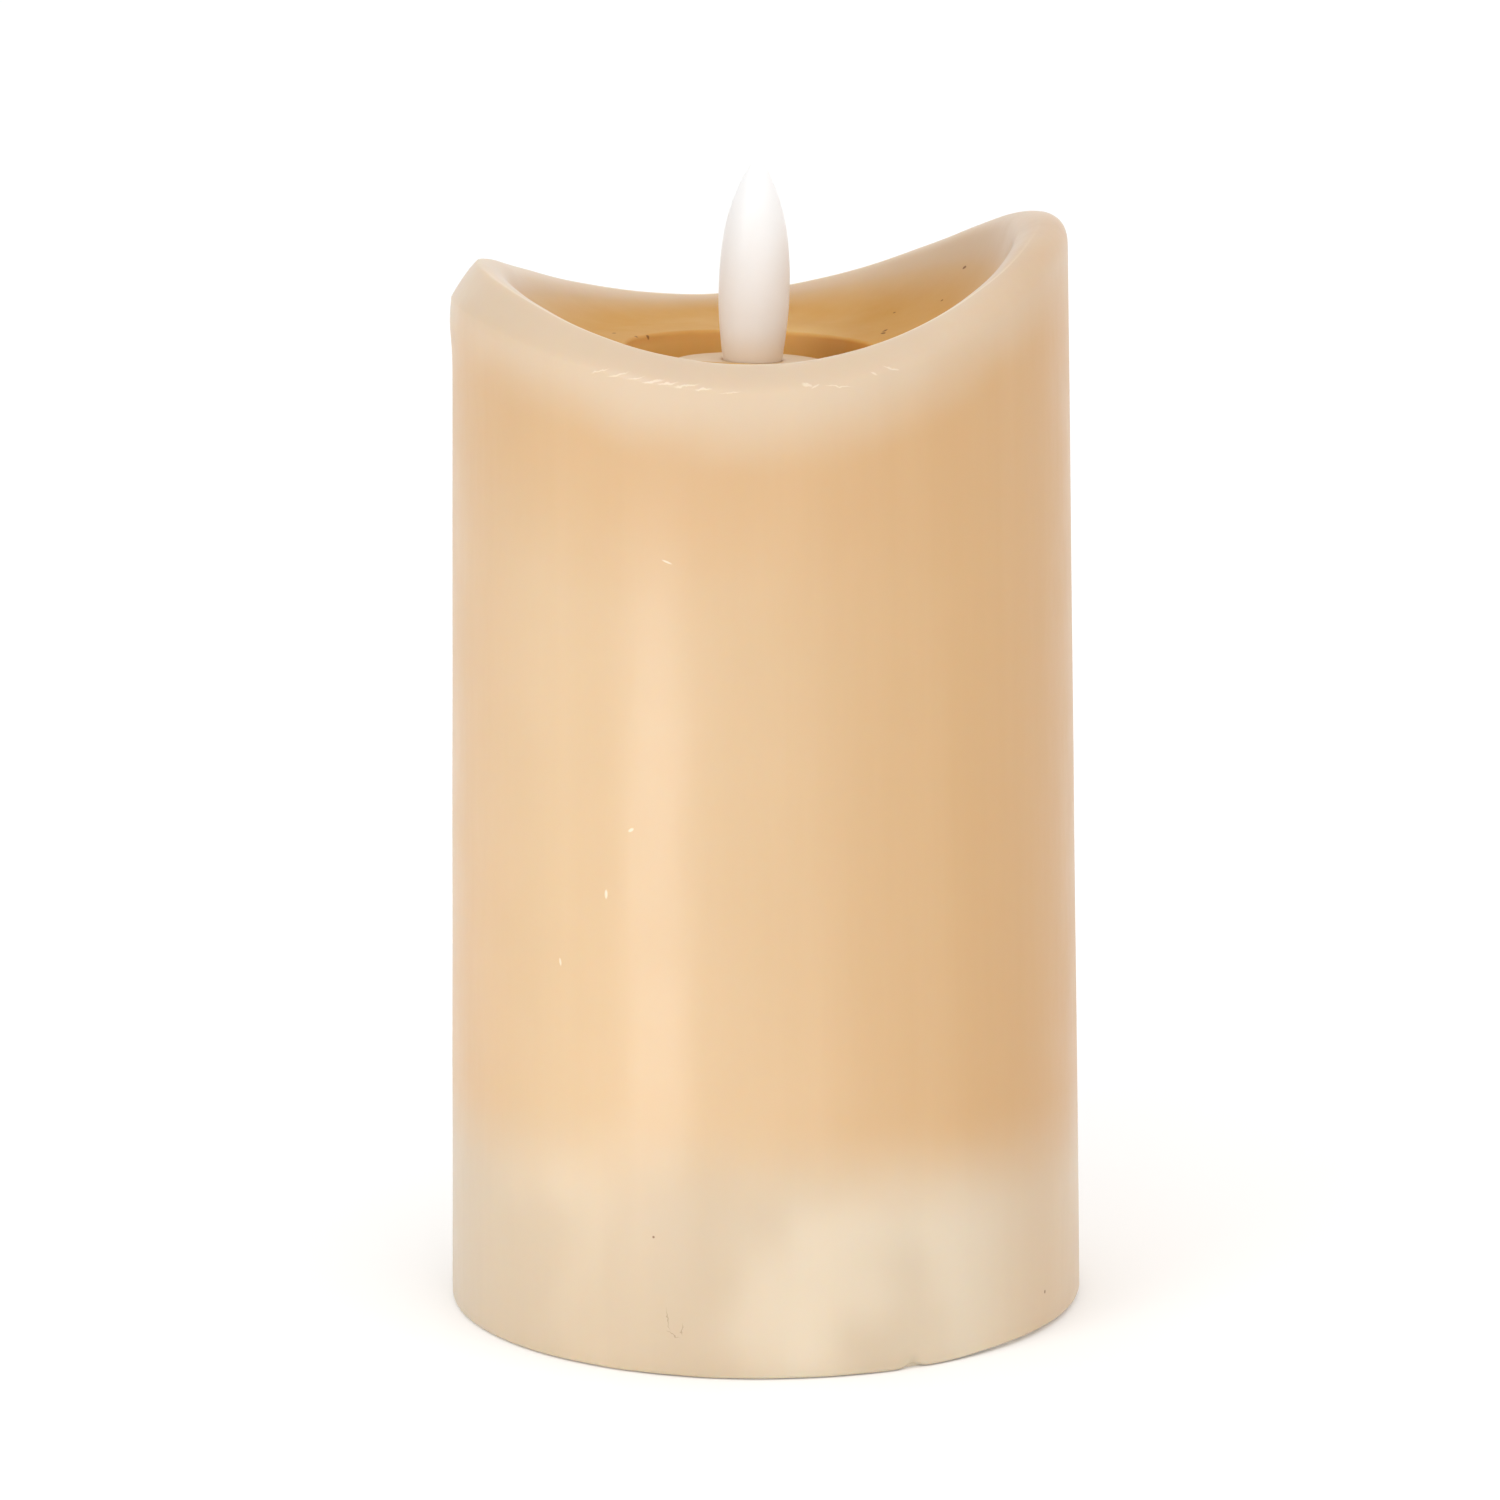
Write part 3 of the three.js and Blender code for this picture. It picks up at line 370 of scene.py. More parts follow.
def moulded_finish(name, light, dark, roughness, grain=1400.0, depth=0.00004, flecks=0.0):
    """Moulded plastic: a fine spark-eroded grain, faint flow clouds and handling wear."""
    plastic = Finish(name)
    cloud = plastic.noise(45.0, 3.0, 0.55)
    colour = plastic.mix(plastic.span(cloud, 0.3, 0.7), dark, light)
    if flecks:
        fleck = plastic.span(plastic.noise(420.0, 1.0), 0.74, 0.80, 0.0, flecks)
        colour = plastic.mix(fleck, colour, rgb(120, 96, 70))
    normal = plastic.bump(plastic.noise(grain, 2.0, 0.6), depth, 0.6)
    worn = plastic.span(plastic.noise(110.0, 4.0, 0.65), 0.35, 0.7, roughness - 0.06, roughness + 0.06)
    return plastic.set(Base_Color=colour, Roughness=worn, Normal=normal)


def metal_finish(name, light, dark, roughness, stretch=(1.0, 1.0, 1.0)):
    """Plated metal: fine rolling marks and patches of dull plating."""
    metal = Finish(name, metallic=1.0)
    lines = metal.noise(900.0, 3.0, 0.6, metal.stretched(stretch))
    patch = metal.noise(160.0, 3.0, 0.6)
    colour = metal.mix(metal.span(patch, 0.35, 0.7), light, dark)
    return metal.set(
        Base_Color=colour,
        Roughness=metal.span(lines, 0.3, 0.7, roughness - 0.07, roughness + 0.08),
        Normal=metal.bump(lines, 0.00002, 0.4),
    )


def board_finish():
    """Green solder mask over copper tracks, with a faint glass weave."""
    board = Finish("board", roughness=0.35)
    weave = board.node("ShaderNodeTexWave", wave_type="BANDS", bands_direction="DIAGONAL")
    board.feed(weave.inputs["Vector"], board.coords)
    weave.inputs["Scale"].default_value = 900.0
    tracks = board.cells(330.0, "DISTANCE_TO_EDGE")
    copper = board.span(tracks, 0.10, 0.13)
    colour = board.mix(copper, rgb(52, 122, 72), rgb(28, 84, 48))
    colour = board.mix(board.math("MULTIPLY", weave.outputs["Fac"], 0.12), colour, rgb(120, 150, 90))
    return board.set(Base_Color=colour, Normal=board.bump(copper, 0.00004, 0.6))


def jacket_finish():
    """A cell: a printed film, dark with a copper band at the positive end, and bare steel ends.
    The front cell's positive end faces +X and the rear cell's faces -X."""
    film = Finish("cell_jacket")
    facing = film.span(film.axis("Y"), 0.0009, 0.0011, 1.0, -1.0)
    along = film.math("MULTIPLY", film.axis("X"), facing)
    band = film.span(along, 0.0102, 0.0105)
    colour = film.mix(band, rgb(42, 45, 50), rgb(176, 112, 58))
    line = film.math("MULTIPLY", film.span(along, 0.0088, 0.0090), film.span(along, 0.0098, 0.0096))
    colour = film.mix(line, colour, rgb(205, 205, 205))
    scuffs = film.span(film.noise(260.0, 5.0, 0.7), 0.62, 0.72, 0.0, 0.25)
    colour = film.mix(scuffs, colour, rgb(150, 150, 150))
    ends = film.math("MAXIMUM", film.span(along, 0.0238, 0.0239), film.span(along, -0.0245, -0.0246))
    colour = film.mix(ends, colour, rgb(198, 200, 204))
    roughness = film.span(film.noise(90.0, 3.0), 0.3, 0.7, 0.29, 0.40)
    coat = {"Coat_Weight": 0.4, "Coat_Roughness": 0.15}
    return film.set(Base_Color=colour, Roughness=roughness, Metallic=ends, **coat)


def lens_finish():
    """Warm-tinted clear epoxy."""
    lens = Finish("led_lens")
    cloud = lens.noise(300.0, 2.0)
    colour = lens.mix(cloud, rgb(246, 222, 168), rgb(238, 206, 140))
    roughness = lens.span(cloud, 0.3, 0.7, 0.08, 0.16)
    return lens.set(Base_Color=colour, Roughness=roughness, Transmission_Weight=0.5)


def make_finishes():
    cream = (rgb(235, 224, 204), rgb(226, 213, 190))
    black = (rgb(34, 35, 38), rgb(24, 25, 27))
    return {
        "wax": wax_finish(),
        "flame_opal": flame_finish(),
        "collar": moulded_finish("collar", rgb(210, 178, 136), rgb(202, 168, 124), 0.45),
        "base_plastic": moulded_finish("base_plastic", *cream, 0.5, 1100.0, 0.00006, 0.25),
        "plug_plastic": moulded_finish("plug_plastic", rgb(234, 229, 217), rgb(222, 216, 202), 0.55),
        "led_lens": lens_finish(),
        "cell_jacket": jacket_finish(),
        "steel": metal_finish("steel", rgb(208, 210, 214), rgb(176, 179, 184), 0.36, (1.0, 0.1, 1.0)),
        "board": board_finish(),
        "black_plastic": moulded_finish("black_plastic", *black, 0.42, 1600.0),
        "resistor_body": moulded_finish("resistor_body", rgb(206, 176, 132), rgb(190, 158, 112), 0.36),
        "capacitor_sleeve": moulded_finish("capacitor_sleeve", rgb(40, 52, 68), rgb(30, 40, 54), 0.36),
        "wire_red": moulded_finish("wire_red", rgb(184, 44, 34), rgb(160, 34, 26), 0.42),
        "wire_black": moulded_finish("wire_black", rgb(36, 36, 38), rgb(26, 26, 28), 0.42),
    }


# ---------------------------------------------------------------- mesh helpers
def place(obj, node, slot, finish):
    """Puts a new piece in the scene, in the place of a CAD node."""
    obj.data.materials.clear()
    obj.data.materials.append(finish)
    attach(obj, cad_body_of(node))
    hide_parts(node)


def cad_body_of(node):
    bodies = frame["record"]["behaviour"]["bodies"]
    return next(name for name, nodes in bodies.items() if node in nodes)


def ring_mesh(name, profile, segments, shaped=lambda points: points, closed=False):
    """A surface of revolution about Z. The profile is (radius, z) in mm, and either closes on
    itself or starts and ends on the axis. `shaped` moves the array of points."""
    angles = np.arange(segments) * 2 * math.pi / segments + FRONT
    rows = np.array(profile, float)
    inner = rows if closed else rows[1:-1]
    count = len(inner)
    radius, z = inner[:, 0][:, None], inner[:, 1][:, None]
    heights = np.broadcast_to(z, (count, segments))
    points = np.stack([radius * np.cos(angles), radius * np.sin(angles), heights], -1).reshape(-1, 3)
    if not closed:
        points = np.vstack([points, [[0, 0, rows[0, 1]], [0, 0, rows[-1, 1]]]])
    following = [(j + 1) % segments for j in range(segments)]
    faces = []
    for i in range(count if closed else count - 1):
        low, high = i * segments, ((i + 1) % count) * segments
        faces += [(low + j, low + k, high + k, high + j) for j, k in enumerate(following)]
    if not closed:
        first, last = count * segments, count * segments + 1
        top = (count - 1) * segments
        faces += [(first, k, j) for j, k in enumerate(following)]
        faces += [(last, top + j, top + k) for j, k in enumerate(following)]
    mesh = bpy.data.meshes.new(name)
    mesh.from_pydata((shaped(points) * MM).tolist(), [], faces)
    mesh.shade_smooth()
    mesh.update()
    obj = bpy.data.objects.new(name, mesh)
    bpy.context.scene.collection.objects.link(obj)
    return obj


def arc(centre_radius, centre_z, radius, start, end, steps):
    """Points of a profile along an arc, from one angle to another in degrees."""
    turns = np.radians(np.linspace(start, end, steps + 1))
    return [(centre_radius + radius * math.cos(t), centre_z + radius * math.sin(t)) for t in turns]


def store(obj, name, values):
    """Keeps one number for each point of the mesh, for the materials to read."""
    layer = obj.data.attributes.new(name, "FLOAT", "POINT")
    layer.data.foreach_set("value", np.asarray(values, np.float32))


def smoothstep(value, low, high):
    share = np.clip((value - low) / (high - low), 0, 1)
    return share * share * (3 - 2 * share)


def lumps(points, size, seed):
    """Smooth noise, from about -1 to 1, with bumps about `size` mm across."""
    shift = Vector((seed * 17.3, seed * 5.1, seed * 9.7))
    return np.array([noise.noise(Vector(p) / size + shift) for p in points])


# ---------------------------------------------------------------- wax shell
WAX_LOW, WAX_HIGH = (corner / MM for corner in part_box("wax_shell"))
WAX_FOOT_Z = WAX_LOW.z
WALL_TAPER = 0.0155
FOOT_RADIUS = 39.16
BORE_RADIUS = 33.5
SHOULDER_Z = 29.6
CAVITY_FOOT_RADIUS = 32.3
CAVITY_TOP_RADIUS = 30.6
WEB_UNDERSIDE_Z = 108
MOAT_FLOOR_Z = 114
MOAT_RADIUS = 15.8
POOL_EDGE_Z = 118.4
STEM_HOLE_RADIUS = 6.6
RIM_LOW_Z = 120.9
RIM_OUTER_ROUND = 3.0
RIM_INNER_ROUND = 1.2
ROUND_FOOT_Z = RIM_LOW_Z - RIM_OUTER_ROUND
CREST_RADIUS = FOOT_RADIUS - WALL_TAPER * ROUND_FOOT_Z - RIM_OUTER_ROUND
POOL_OUTER_RADIUS = CREST_RADIUS - RIM_INNER_ROUND
SADDLE_CURVE = 0.0091
SADDLE_TILT = 0.072
SADDLE_TURN = math.radians(4.9)
BLEND_START_Z = 70
ROUND_FULLNESS, LEFT_FULLNESS, RIGHT_FULLNESS = 1.5, -0.35, 0.9
LEFT_DROP, RIGHT_DROP = 1.4, 0.2
SHOULDER_SOFTENING = 2.0
LEAN_END_RADIUS = 26
FLAME_LEAN = math.radians(1.8)
FLAME_OFFSET = -1.0
LEAN_PIVOT_Z = 117
FLANGE_RADIUS = 38.1
WALL_SLACK, WALL_SLACK_SIZE = 0.05, 16
CREST_WAVE, CREST_WAVE_SIZE = 0.12, 9
BULGE, BULGE_Z, BULGE_HEIGHT = 0.3, 122, 3
LIP_DROOP, LIP_RAGGEDNESS, LIP_LIFT, LIP_LOWEST = 0.61, 0.06, 0.36, 0.66
CHIP_ANGLE = FRONT + math.radians(26.9)
CHIP_HALF_ANGLE, CHIP_DEPTH, CHIP_RISE = 0.03, 0.55, 0.35
BOX_MARGIN = 0.03


def rim_rise(angle):
    """How far the rim's crest stands above its lowest point: a saddle that tilts to one side."""
    across = CREST_RADIUS * np.cos(angle - SADDLE_TURN)
    return SADDLE_CURVE * across**2 + SADDLE_TILT * across


def leaned(points):
    """Points given in the upright flame's frame, moved to where the leaning flame has them."""
    up = points[:, 2] - LEAN_PIVOT_Z
    x = points[:, 0] * math.cos(FLAME_LEAN) + up * math.sin(FLAME_LEAN) + FLAME_OFFSET
    z = up * math.cos(FLAME_LEAN) - points[:, 0] * math.sin(FLAME_LEAN) + LEAN_PIVOT_Z
    return np.stack([x, points[:, 1], z], -1)


def outer_rounding(angle, turn):
    """How far in and down a point of the rim's outer rounding lies. `turn` is 1 at the crest."""
    left = np.maximum(-np.cos(angle), 0) ** 2
    right = np.maximum(np.cos(angle), 0) ** 2
    power = 2 / (ROUND_FULLNESS + LEFT_FULLNESS * left + RIGHT_FULLNESS * right)
    drop = RIM_OUTER_ROUND + LEFT_DROP * left + RIGHT_DROP * right
    quarter = turn * math.pi / 2
    inward = RIM_OUTER_ROUND * (1 - np.clip(np.cos(quarter), 0, 1) ** power)
    return inward, drop * (1 - np.clip(np.sin(quarter), 0, 1) ** power)


def shaped_profile(radius, z, angle):
    """Where the plain ring's points go, as radius and z, for each of the ring's four parts."""
    top = RIM_LOW_Z + rim_rise(angle)
    softening = SHOULDER_SOFTENING * np.cos(angle) ** 4
    outside = radius > CREST_RADIUS - 0.01
    on_rounding = outside & (z > ROUND_FOOT_Z - 0.01)
    on_inner_round = ~outside & (radius > POOL_OUTER_RADIUS - 0.01) & (z > POOL_EDGE_Z)
    on_pool = ~outside & ~on_inner_round & (z > POOL_EDGE_Z - 0.01)

    turn = np.arctan2(z - ROUND_FOOT_Z, np.maximum(radius - CREST_RADIUS, 0)) / (math.pi / 2)
    inward, down = outer_rounding(angle, np.clip(turn, 0, 1))
    rounding = outer_radius(top - down) - inward, top - down

    lift = top - outer_rounding(angle, 0 * angle)[1] - ROUND_FOOT_Z
    raised = z + lift * smoothstep(z, BLEND_START_Z, ROUND_FOOT_Z)
    wall = radius + outer_radius(raised) - outer_radius(z), raised

    growth = 1 + softening / RIM_INNER_ROUND
    crest = outer_radius(top) - RIM_OUTER_ROUND
    inner = crest - (CREST_RADIUS - radius) * growth, top - (RIM_LOW_Z - z) * growth

    outward = np.maximum((radius - MOAT_RADIUS) / (POOL_OUTER_RADIUS - MOAT_RADIUS), 0)
    shift = softening + outer_radius(RIM_LOW_Z) - outer_radius(top)
    sunk = softening * np.clip((RIM_LOW_Z - z) / RIM_INNER_ROUND, 0, 1)
    pool = radius - shift * outward**2, z + (top - RIM_LOW_Z - sunk) * outward**2.2

    parts = [on_rounding, outside, on_inner_round, on_pool]
    places = [rounding, wall, inner, pool]
    return [np.select(parts, [place[i] for place in places], (radius, z)[i]) for i in (0, 1)]


def shaped_wax(points):
    """Shapes the plain ring, moves it over with the flame near the moat, and makes it uneven as
    cast wax is: a slack wall, a bulge under the left shoulder and a ragged foot with one chip."""
    radius = np.hypot(points[:, 0], points[:, 1])
    angle = np.arctan2(points[:, 1], points[:, 0])
    z = points[:, 2]
    new_radius, new_z = shaped_profile(radius, z, angle)
    outer_wall = radius > BORE_RADIUS + 2

    around = np.stack([np.cos(angle), np.sin(angle), z * 0.02], -1) * 40
    slack = lumps(around, WALL_SLACK_SIZE, 3)
    crest_share = smoothstep(z, BLEND_START_Z, RIM_LOW_Z) * (radius > MOAT_RADIUS + 6)
    new_radius = new_radius + np.where(outer_wall, WALL_SLACK * slack, 0)
    new_z = new_z + CREST_WAVE * lumps(around, CREST_WAVE_SIZE, 4) * crest_share
    left = np.maximum(-np.cos(angle), 0) ** 6
    bulge = np.exp(-(((new_z - BULGE_Z) / BULGE_HEIGHT) ** 2))
    new_radius = new_radius + outer_wall * BULGE * left * bulge
    new_radius = np.minimum(new_radius, FOOT_RADIUS - BOX_MARGIN)

    lip = (radius > FLANGE_RADIUS) & (z < WAX_FOOT_Z + 0.6)
    lifted = LIP_LIFT * smoothstep(angle, FRONT + 0.5, FRONT + 0.9)
    droop = LIP_DROOP + LIP_RAGGEDNESS * lumps(around, 5, 6) - lifted
    new_z = new_z - np.where(lip, np.clip(droop, 0, LIP_LOWEST), 0)
    chip = np.exp(-(((angle - CHIP_ANGLE) / CHIP_HALF_ANGLE) ** 2))
    chip = chip * (z < WAX_FOOT_Z + 1.2) * outer_wall
    new_radius = new_radius - CHIP_DEPTH * chip
    new_z = new_z + CHIP_RISE * chip

    shaped = np.stack([np.cos(angle) * new_radius, np.sin(angle) * new_radius, new_z], -1)
    near_moat = np.where(z > WEB_UNDERSIDE_Z - 1, 1 - smoothstep(radius, MOAT_RADIUS, LEAN_END_RADIUS), 0)
    return shaped + (leaned(shaped) - shaped) * near_moat[:, None]


def inner_round():
    """The crest's inner edge, which turns down until the pool floor takes over its slope."""
    return arc(CREST_RADIUS, RIM_LOW_Z - RIM_INNER_ROUND, RIM_INNER_ROUND, 95, 120, 5)


def pool_floor(steps):
    """A shallow dish that steepens where it meets the crest."""
    start_radius, start_z = inner_round()[-1]
    width, rise = start_radius - MOAT_RADIUS, start_z - POOL_EDGE_Z
    dish, dish_power, lip_power = 0.45, 1.5, 8
    shares = 1 - np.arange(1, steps + 1) / (steps + 1)
    return [
        (MOAT_RADIUS + width * s, POOL_EDGE_Z + rise * (dish * s**dish_power + (1 - dish) * s**lip_power))
        for s in shares
    ]


def wax_profile():
    """Up the outer wall, over the crest, down the pool and moat, through the web and back down
    the inside."""
    wall_step = 0.85
    chamfer = 0.5
    wall = np.arange(WAX_FOOT_Z + chamfer, ROUND_FOOT_Z - 0.4, wall_step)
    return [
        (BORE_RADIUS, WAX_FOOT_Z),
        (BORE_RADIUS + 3, WAX_FOOT_Z),
        (FLANGE_RADIUS - 0.1, WAX_FOOT_Z),
        (FLANGE_RADIUS + 0.15, WAX_FOOT_Z),
        (outer_radius(WAX_FOOT_Z) - chamfer, WAX_FOOT_Z),
        (outer_radius(WAX_FOOT_Z) - chamfer * 0.3, WAX_FOOT_Z + chamfer * 0.3),
        *((outer_radius(z), z) for z in wall),
        *arc(CREST_RADIUS, ROUND_FOOT_Z, RIM_OUTER_ROUND, 0, 90, 12),
        *inner_round(),
        *pool_floor(40),
        *arc(MOAT_RADIUS + 0.1, POOL_EDGE_Z - 0.5, 0.5, 90, 180, 4),
        *((MOAT_RADIUS - 0.5, z) for z in (117.0, 116.0, 115.0)),
        *arc(MOAT_RADIUS - 1.3, MOAT_FLOOR_Z + 0.8, 0.8, 0, -90, 3),
        (12, MOAT_FLOOR_Z),
        (9, MOAT_FLOOR_Z),
        (STEM_HOLE_RADIUS, MOAT_FLOOR_Z),
        (STEM_HOLE_RADIUS, WEB_UNDERSIDE_Z + 3),
        (STEM_HOLE_RADIUS, WEB_UNDERSIDE_Z),
        (14, WEB_UNDERSIDE_Z),
        (21, WEB_UNDERSIDE_Z),
        *arc(CAVITY_TOP_RADIUS - 4, WEB_UNDERSIDE_Z - 4, 4, 90, 0, 5),
        (CAVITY_TOP_RADIUS + (CAVITY_FOOT_RADIUS - CAVITY_TOP_RADIUS) / 2, 67),
        (CAVITY_FOOT_RADIUS, SHOULDER_Z),
        (BORE_RADIUS, SHOULDER_Z),
        (BORE_RADIUS, 15),
    ]


def wax_shell(finish):
    """The wax, with the attributes that its material reads: the depth below the rim, the shares of pool
    and moat, and the share of a painted highlight, a thin bright line along the crest's inner edge."""
    segments = 360
    profile = wax_profile()
    obj = ring_mesh("wax_pillar", profile, segments, shaped_wax, closed=True)
    mesh = obj.data
    points = np.zeros(len(mesh.vertices) * 3)
    mesh.vertices.foreach_get("co", points)
    points = points.reshape(-1, 3) / MM
    radius = np.hypot(points[:, 0], points[:, 1])
    angle = np.arctan2(points[:, 1], points[:, 0])
    z = points[:, 2]
    crest_z = RIM_LOW_Z + rim_rise(angle)
    crest_radius = outer_radius(crest_z) - RIM_OUTER_ROUND
    store(obj, "below_rim", np.where(radius > crest_radius, np.maximum(crest_z - z, 0), 0) * MM)
    inside = (radius < crest_radius + 0.2) & (z > WEB_UNDERSIDE_Z + 1)
    depth = (crest_z - z) / np.maximum(crest_z - POOL_EDGE_Z, 1)
    behind = 0.2 * np.maximum(np.sin(angle), 0)
    store(obj, "pool_depth", np.where(inside, smoothstep(depth + behind, 0.08, 1.0), 0))
    store(obj, "moat", np.where(inside, smoothstep(POOL_EDGE_Z - z, -0.3, 0.6), 0))
    # The painted highlight's share: full on the first row of the crest's inner edge, 0.4 on the next,
    # strongest at the front and back.
    edge_row = profile.index(inner_round()[0])
    row_gap = np.arange(len(profile)) - edge_row
    edge_highlight_share = np.repeat(np.where(row_gap == 0, 1.0, 0.4 * (row_gap == 1)), segments)
    store(obj, "inner_edge_highlight", edge_highlight_share * np.sin(angle) ** 2)
    place(obj, "wax_shell", "wax", finish)


# ---------------------------------------------------------------- flame
COLLAR_TOP_Z = 116.8
COLLAR_DOME = 0.35
COLLAR_RADIUS = 9.7
FLAME_TIP_Z = 141.6
FLAME_WIDEST_Z = 124.6
FLAME_RADIUS = 4.3
FLAME_SKIRT_RADIUS = 3.55
FLAME_FOOT_Z = 107.2
FLAME_WALL = 1.0
STEM_BORE_RADIUS = 5.1
STEM_RADIUS = 6.3
STEM_FOOT_Z = 99
NECK_RADIUS = 3.65
NECK_FOOT_Z = 109.4
LED_FOOT_Z = 103.6


def flame_radius(z):
    if z > FLAME_WIDEST_Z:
        upward = (z - FLAME_WIDEST_Z) / (FLAME_TIP_Z - FLAME_WIDEST_Z)
        return FLAME_RADIUS * (1 - upward**2.6) ** 0.9
    downward = (FLAME_WIDEST_Z - z) / (FLAME_WIDEST_Z - COLLAR_TOP_Z + COLLAR_DOME)
    return FLAME_RADIUS - (FLAME_RADIUS - FLAME_SKIRT_RADIUS) * downward**1.6


def flame_bulb(finish):
    """A hollow bullet that stands on the LED's plug by the flange round its foot."""
    skirt_top = COLLAR_TOP_Z - COLLAR_DOME
    turns = np.linspace(0, math.pi / 2, 57)[:-1]
    heights = skirt_top + (FLAME_TIP_Z - skirt_top) * np.sin(turns)
    upper = [(flame_radius(z), z) for z in heights]
    inner = [(radius - FLAME_WALL, z) for radius, z in reversed(upper[9:-12])]
    skirt = FLAME_SKIRT_RADIUS - 0.7
    flange = STEM_BORE_RADIUS - 0.2
    profile = [
        (0, inner[0][1] + 0.8),
        *inner,
        (skirt, LED_FOOT_Z + 9),
        (skirt, FLAME_FOOT_Z),
        (flange, FLAME_FOOT_Z),
        (flange, NECK_FOOT_Z - 0.2),
        (FLAME_SKIRT_RADIUS, NECK_FOOT_Z - 0.2),
        *upper,
        (0, FLAME_TIP_Z),
    ]
    obj = ring_mesh("flame", profile, 96, leaned)
    place(obj, "flame_bulb", "flame_opal", finish)


def flame_collar(finish):
    """A domed disc on a stem that goes down through the wax web."""
    dome_width = COLLAR_RADIUS - 0.5 - NECK_RADIUS
    shares = np.linspace(1, 0, 13)
    edge_z = COLLAR_TOP_Z - COLLAR_DOME
    profile = [
        (STEM_BORE_RADIUS, STEM_FOOT_Z),
        (STEM_RADIUS, STEM_FOOT_Z),
        (STEM_RADIUS, MOAT_FLOOR_Z + 0.3),
        (COLLAR_RADIUS - 0.3, MOAT_FLOOR_Z + 0.3),
        (COLLAR_RADIUS, MOAT_FLOOR_Z + 0.6),
        (COLLAR_RADIUS, edge_z - 0.5),
        *arc(COLLAR_RADIUS - 0.5, edge_z - 0.5, 0.5, 20, 70, 3),
        *((NECK_RADIUS + dome_width * s, COLLAR_TOP_Z - COLLAR_DOME * s**2) for s in shares),
        (NECK_RADIUS, NECK_FOOT_Z),
        (STEM_BORE_RADIUS, NECK_FOOT_Z),
    ]
    obj = ring_mesh("collar", profile, 96, leaned, closed=True)
    place(obj, "flame_collar", "collar", finish)


# ---------------------------------------------------------------- CAD nodes that keep their shape
EDGE_ROUND = 0.12
WELD_DISTANCE = 0.002
SHARP_ANGLE = math.radians(38)


def soften_edges(obj):
    """Rounds a CAD node's edges a little with modifiers, and shades it smoothly instead of by the
    normals that it came with."""
    normals = obj.data.attributes.get("custom_normal")
    if normals:
        obj.data.attributes.remove(normals)
    obj.data.shade_smooth()
    weld = obj.modifiers.new("weld", "WELD")
    weld.merge_threshold = WELD_DISTANCE * MM
    bevel = obj.modifiers.new("bevel", "BEVEL")
    bevel.width = EDGE_ROUND * MM
    bevel.segments = 2
    bevel.angle_limit = SHARP_ANGLE
    obj.modifiers.new("normals", "WEIGHTED_NORMAL")


def dress_cad_nodes(finishes, replaced):
    """Gives each CAD node that stays in the picture its material and its rounded edges."""
    slots = {row["node"]: row["material_slot"] for row in frame["record"]["subparts"]}
    for name, obj in frame["nodes"].items():
        if name in replaced:
            continue
        obj.data.materials.clear()
        obj.data.materials.append(finishes[slots[name]])
        soften_edges(obj)


# ---------------------------------------------------------------- stage
def floor():
    """A plain pale table top that glows a little, so that the contact shadow stays faint."""
    mesh = bpy.data.meshes.new("floor")
    half = 3.0
    corners = [(-half, -half, 0), (half, -half, 0), (half, half, 0), (-half, half, 0)]
    mesh.from_pydata(corners, [], [(0, 1, 2, 3)])
    obj = bpy.data.objects.new("floor", mesh)
    bpy.context.scene.collection.objects.link(obj)
    card = Finish("floor_card", roughness=0.9)
    tone = card.mix(card.noise(3.0), (0.95, 0.95, 0.95, 1), (0.97, 0.97, 0.97, 1))
    mesh.materials.append(card.set(Base_Color=tone, Emission_Color=WHITE, Emission_Strength=0.06))


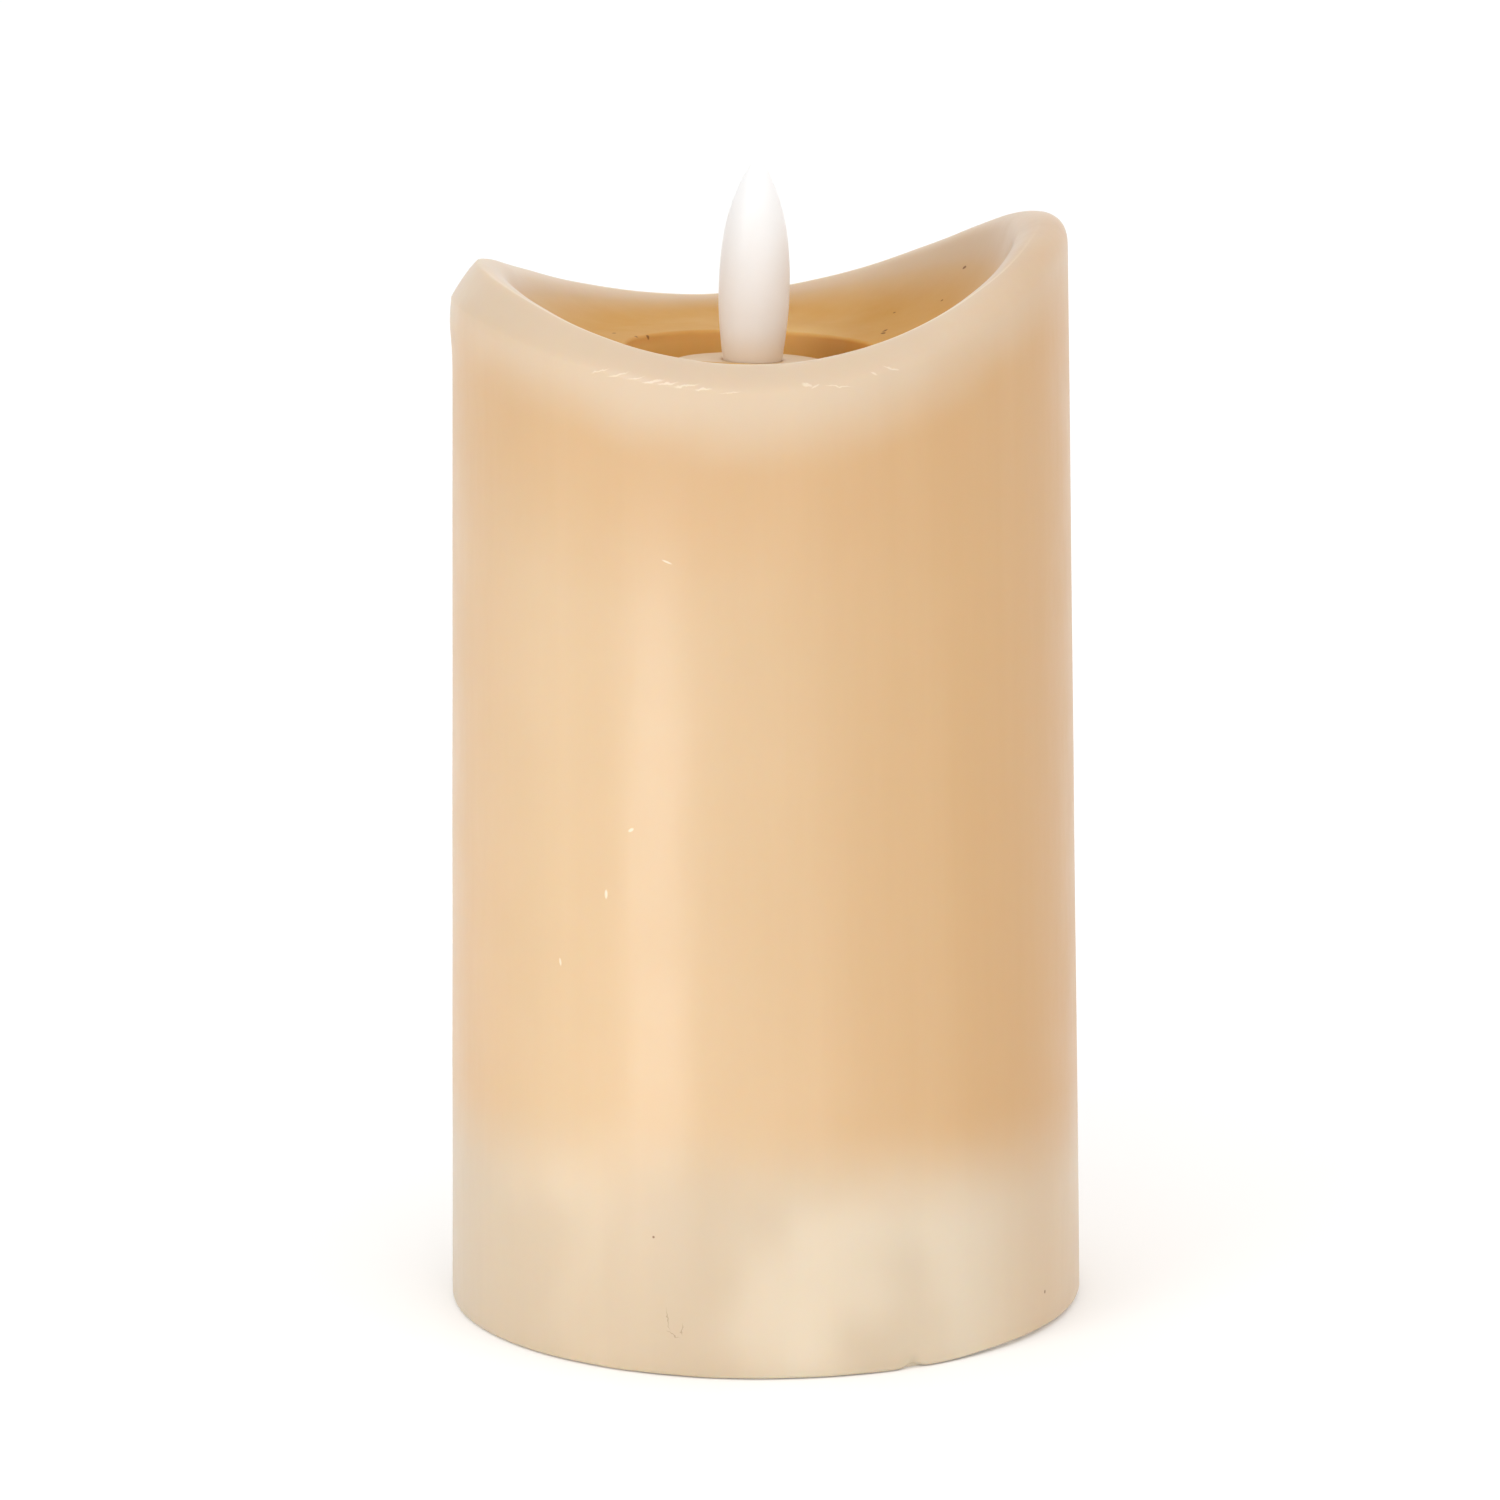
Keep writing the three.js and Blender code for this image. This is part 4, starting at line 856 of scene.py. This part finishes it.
def strip_light(name, azimuth, distance, width, height, radiance, foot=0.0):
    """A soft box that stands upright, `foot` above the table, and faces the candle. Azimuth 0 is
    in front, and 90 is to the right."""
    light = bpy.data.lights.new(name, "AREA")
    light.shape = "RECTANGLE"
    light.size, light.size_y = width, height
    light.energy = radiance * math.pi * width * height
    obj = bpy.data.objects.new(name, light)
    turn = math.radians(azimuth)
    obj.location = (math.sin(turn) * distance, -math.cos(turn) * distance, foot + height / 2)
    obj.rotation_euler = (math.radians(90), 0, turn)
    bpy.context.scene.collection.objects.link(obj)


def lights():
    """A white room that darkens to the left, a narrow strip that gives the wall its highlight,
    and two larger soft boxes."""
    world = bpy.data.worlds.new("studio")
    bpy.context.scene.world = world
    world.use_nodes = True
    background = world.node_tree.nodes["Background"]
    background.inputs["Color"].default_value = WHITE
    tree = world.node_tree
    direction = tree.nodes.new("ShaderNodeSeparateXYZ")
    tree.links.new(tree.nodes.new("ShaderNodeTexCoord").outputs["Generated"], direction.inputs[0])
    flag = tree.nodes.new("ShaderNodeMapRange")
    flag.interpolation_type = "SMOOTHSTEP"
    tree.links.new(direction.outputs["X"], flag.inputs["Value"])
    shade = {"From Min": -0.95, "From Max": -0.30, "To Min": 0.58, "To Max": 1.10}
    for key, number in shade.items():
        flag.inputs[key].default_value = number
    tree.links.new(flag.outputs["Result"], background.inputs["Strength"])
    strip_light("key", -34, 0.14, 0.045, 0.085, 2.9)
    strip_light("top", -40, 0.5, 0.25, 0.3, 2.0, foot=0.2)
    strip_light("fill", 10, 0.9, 0.9, 0.9, 0.2)


CAMERA_LENS = 143.69  # mm, on a 36 mm sensor
CAMERA_SHIFT = -0.0086
CAMERA_PLACE = (0, -0.7211, 0.2131)
CAMERA_DOWN, CAMERA_ROLL = 11.34, -0.333  # degrees


def camera():
    data = bpy.data.cameras.new("camera")
    data.lens = CAMERA_LENS
    data.sensor_width = 36
    data.shift_x = CAMERA_SHIFT
    obj = bpy.data.objects.new("camera", data)
    obj.location = CAMERA_PLACE
    obj.rotation_mode = "ZYX"  # rolls about the camera's own axis
    obj.rotation_euler = (math.radians(90 - CAMERA_DOWN), 0, math.radians(CAMERA_ROLL))
    bpy.context.scene.collection.objects.link(obj)
    bpy.context.scene.camera = obj


camera()
finishes = make_finishes()
wax_shell(finishes["wax"])
flame_bulb(finishes["flame_opal"])
flame_collar(finishes["collar"])
dress_cad_nodes(finishes, {"wax_shell", "flame_bulb", "flame_collar"})
floor()
lights()
bpy.context.scene.view_settings.view_transform = "Standard"
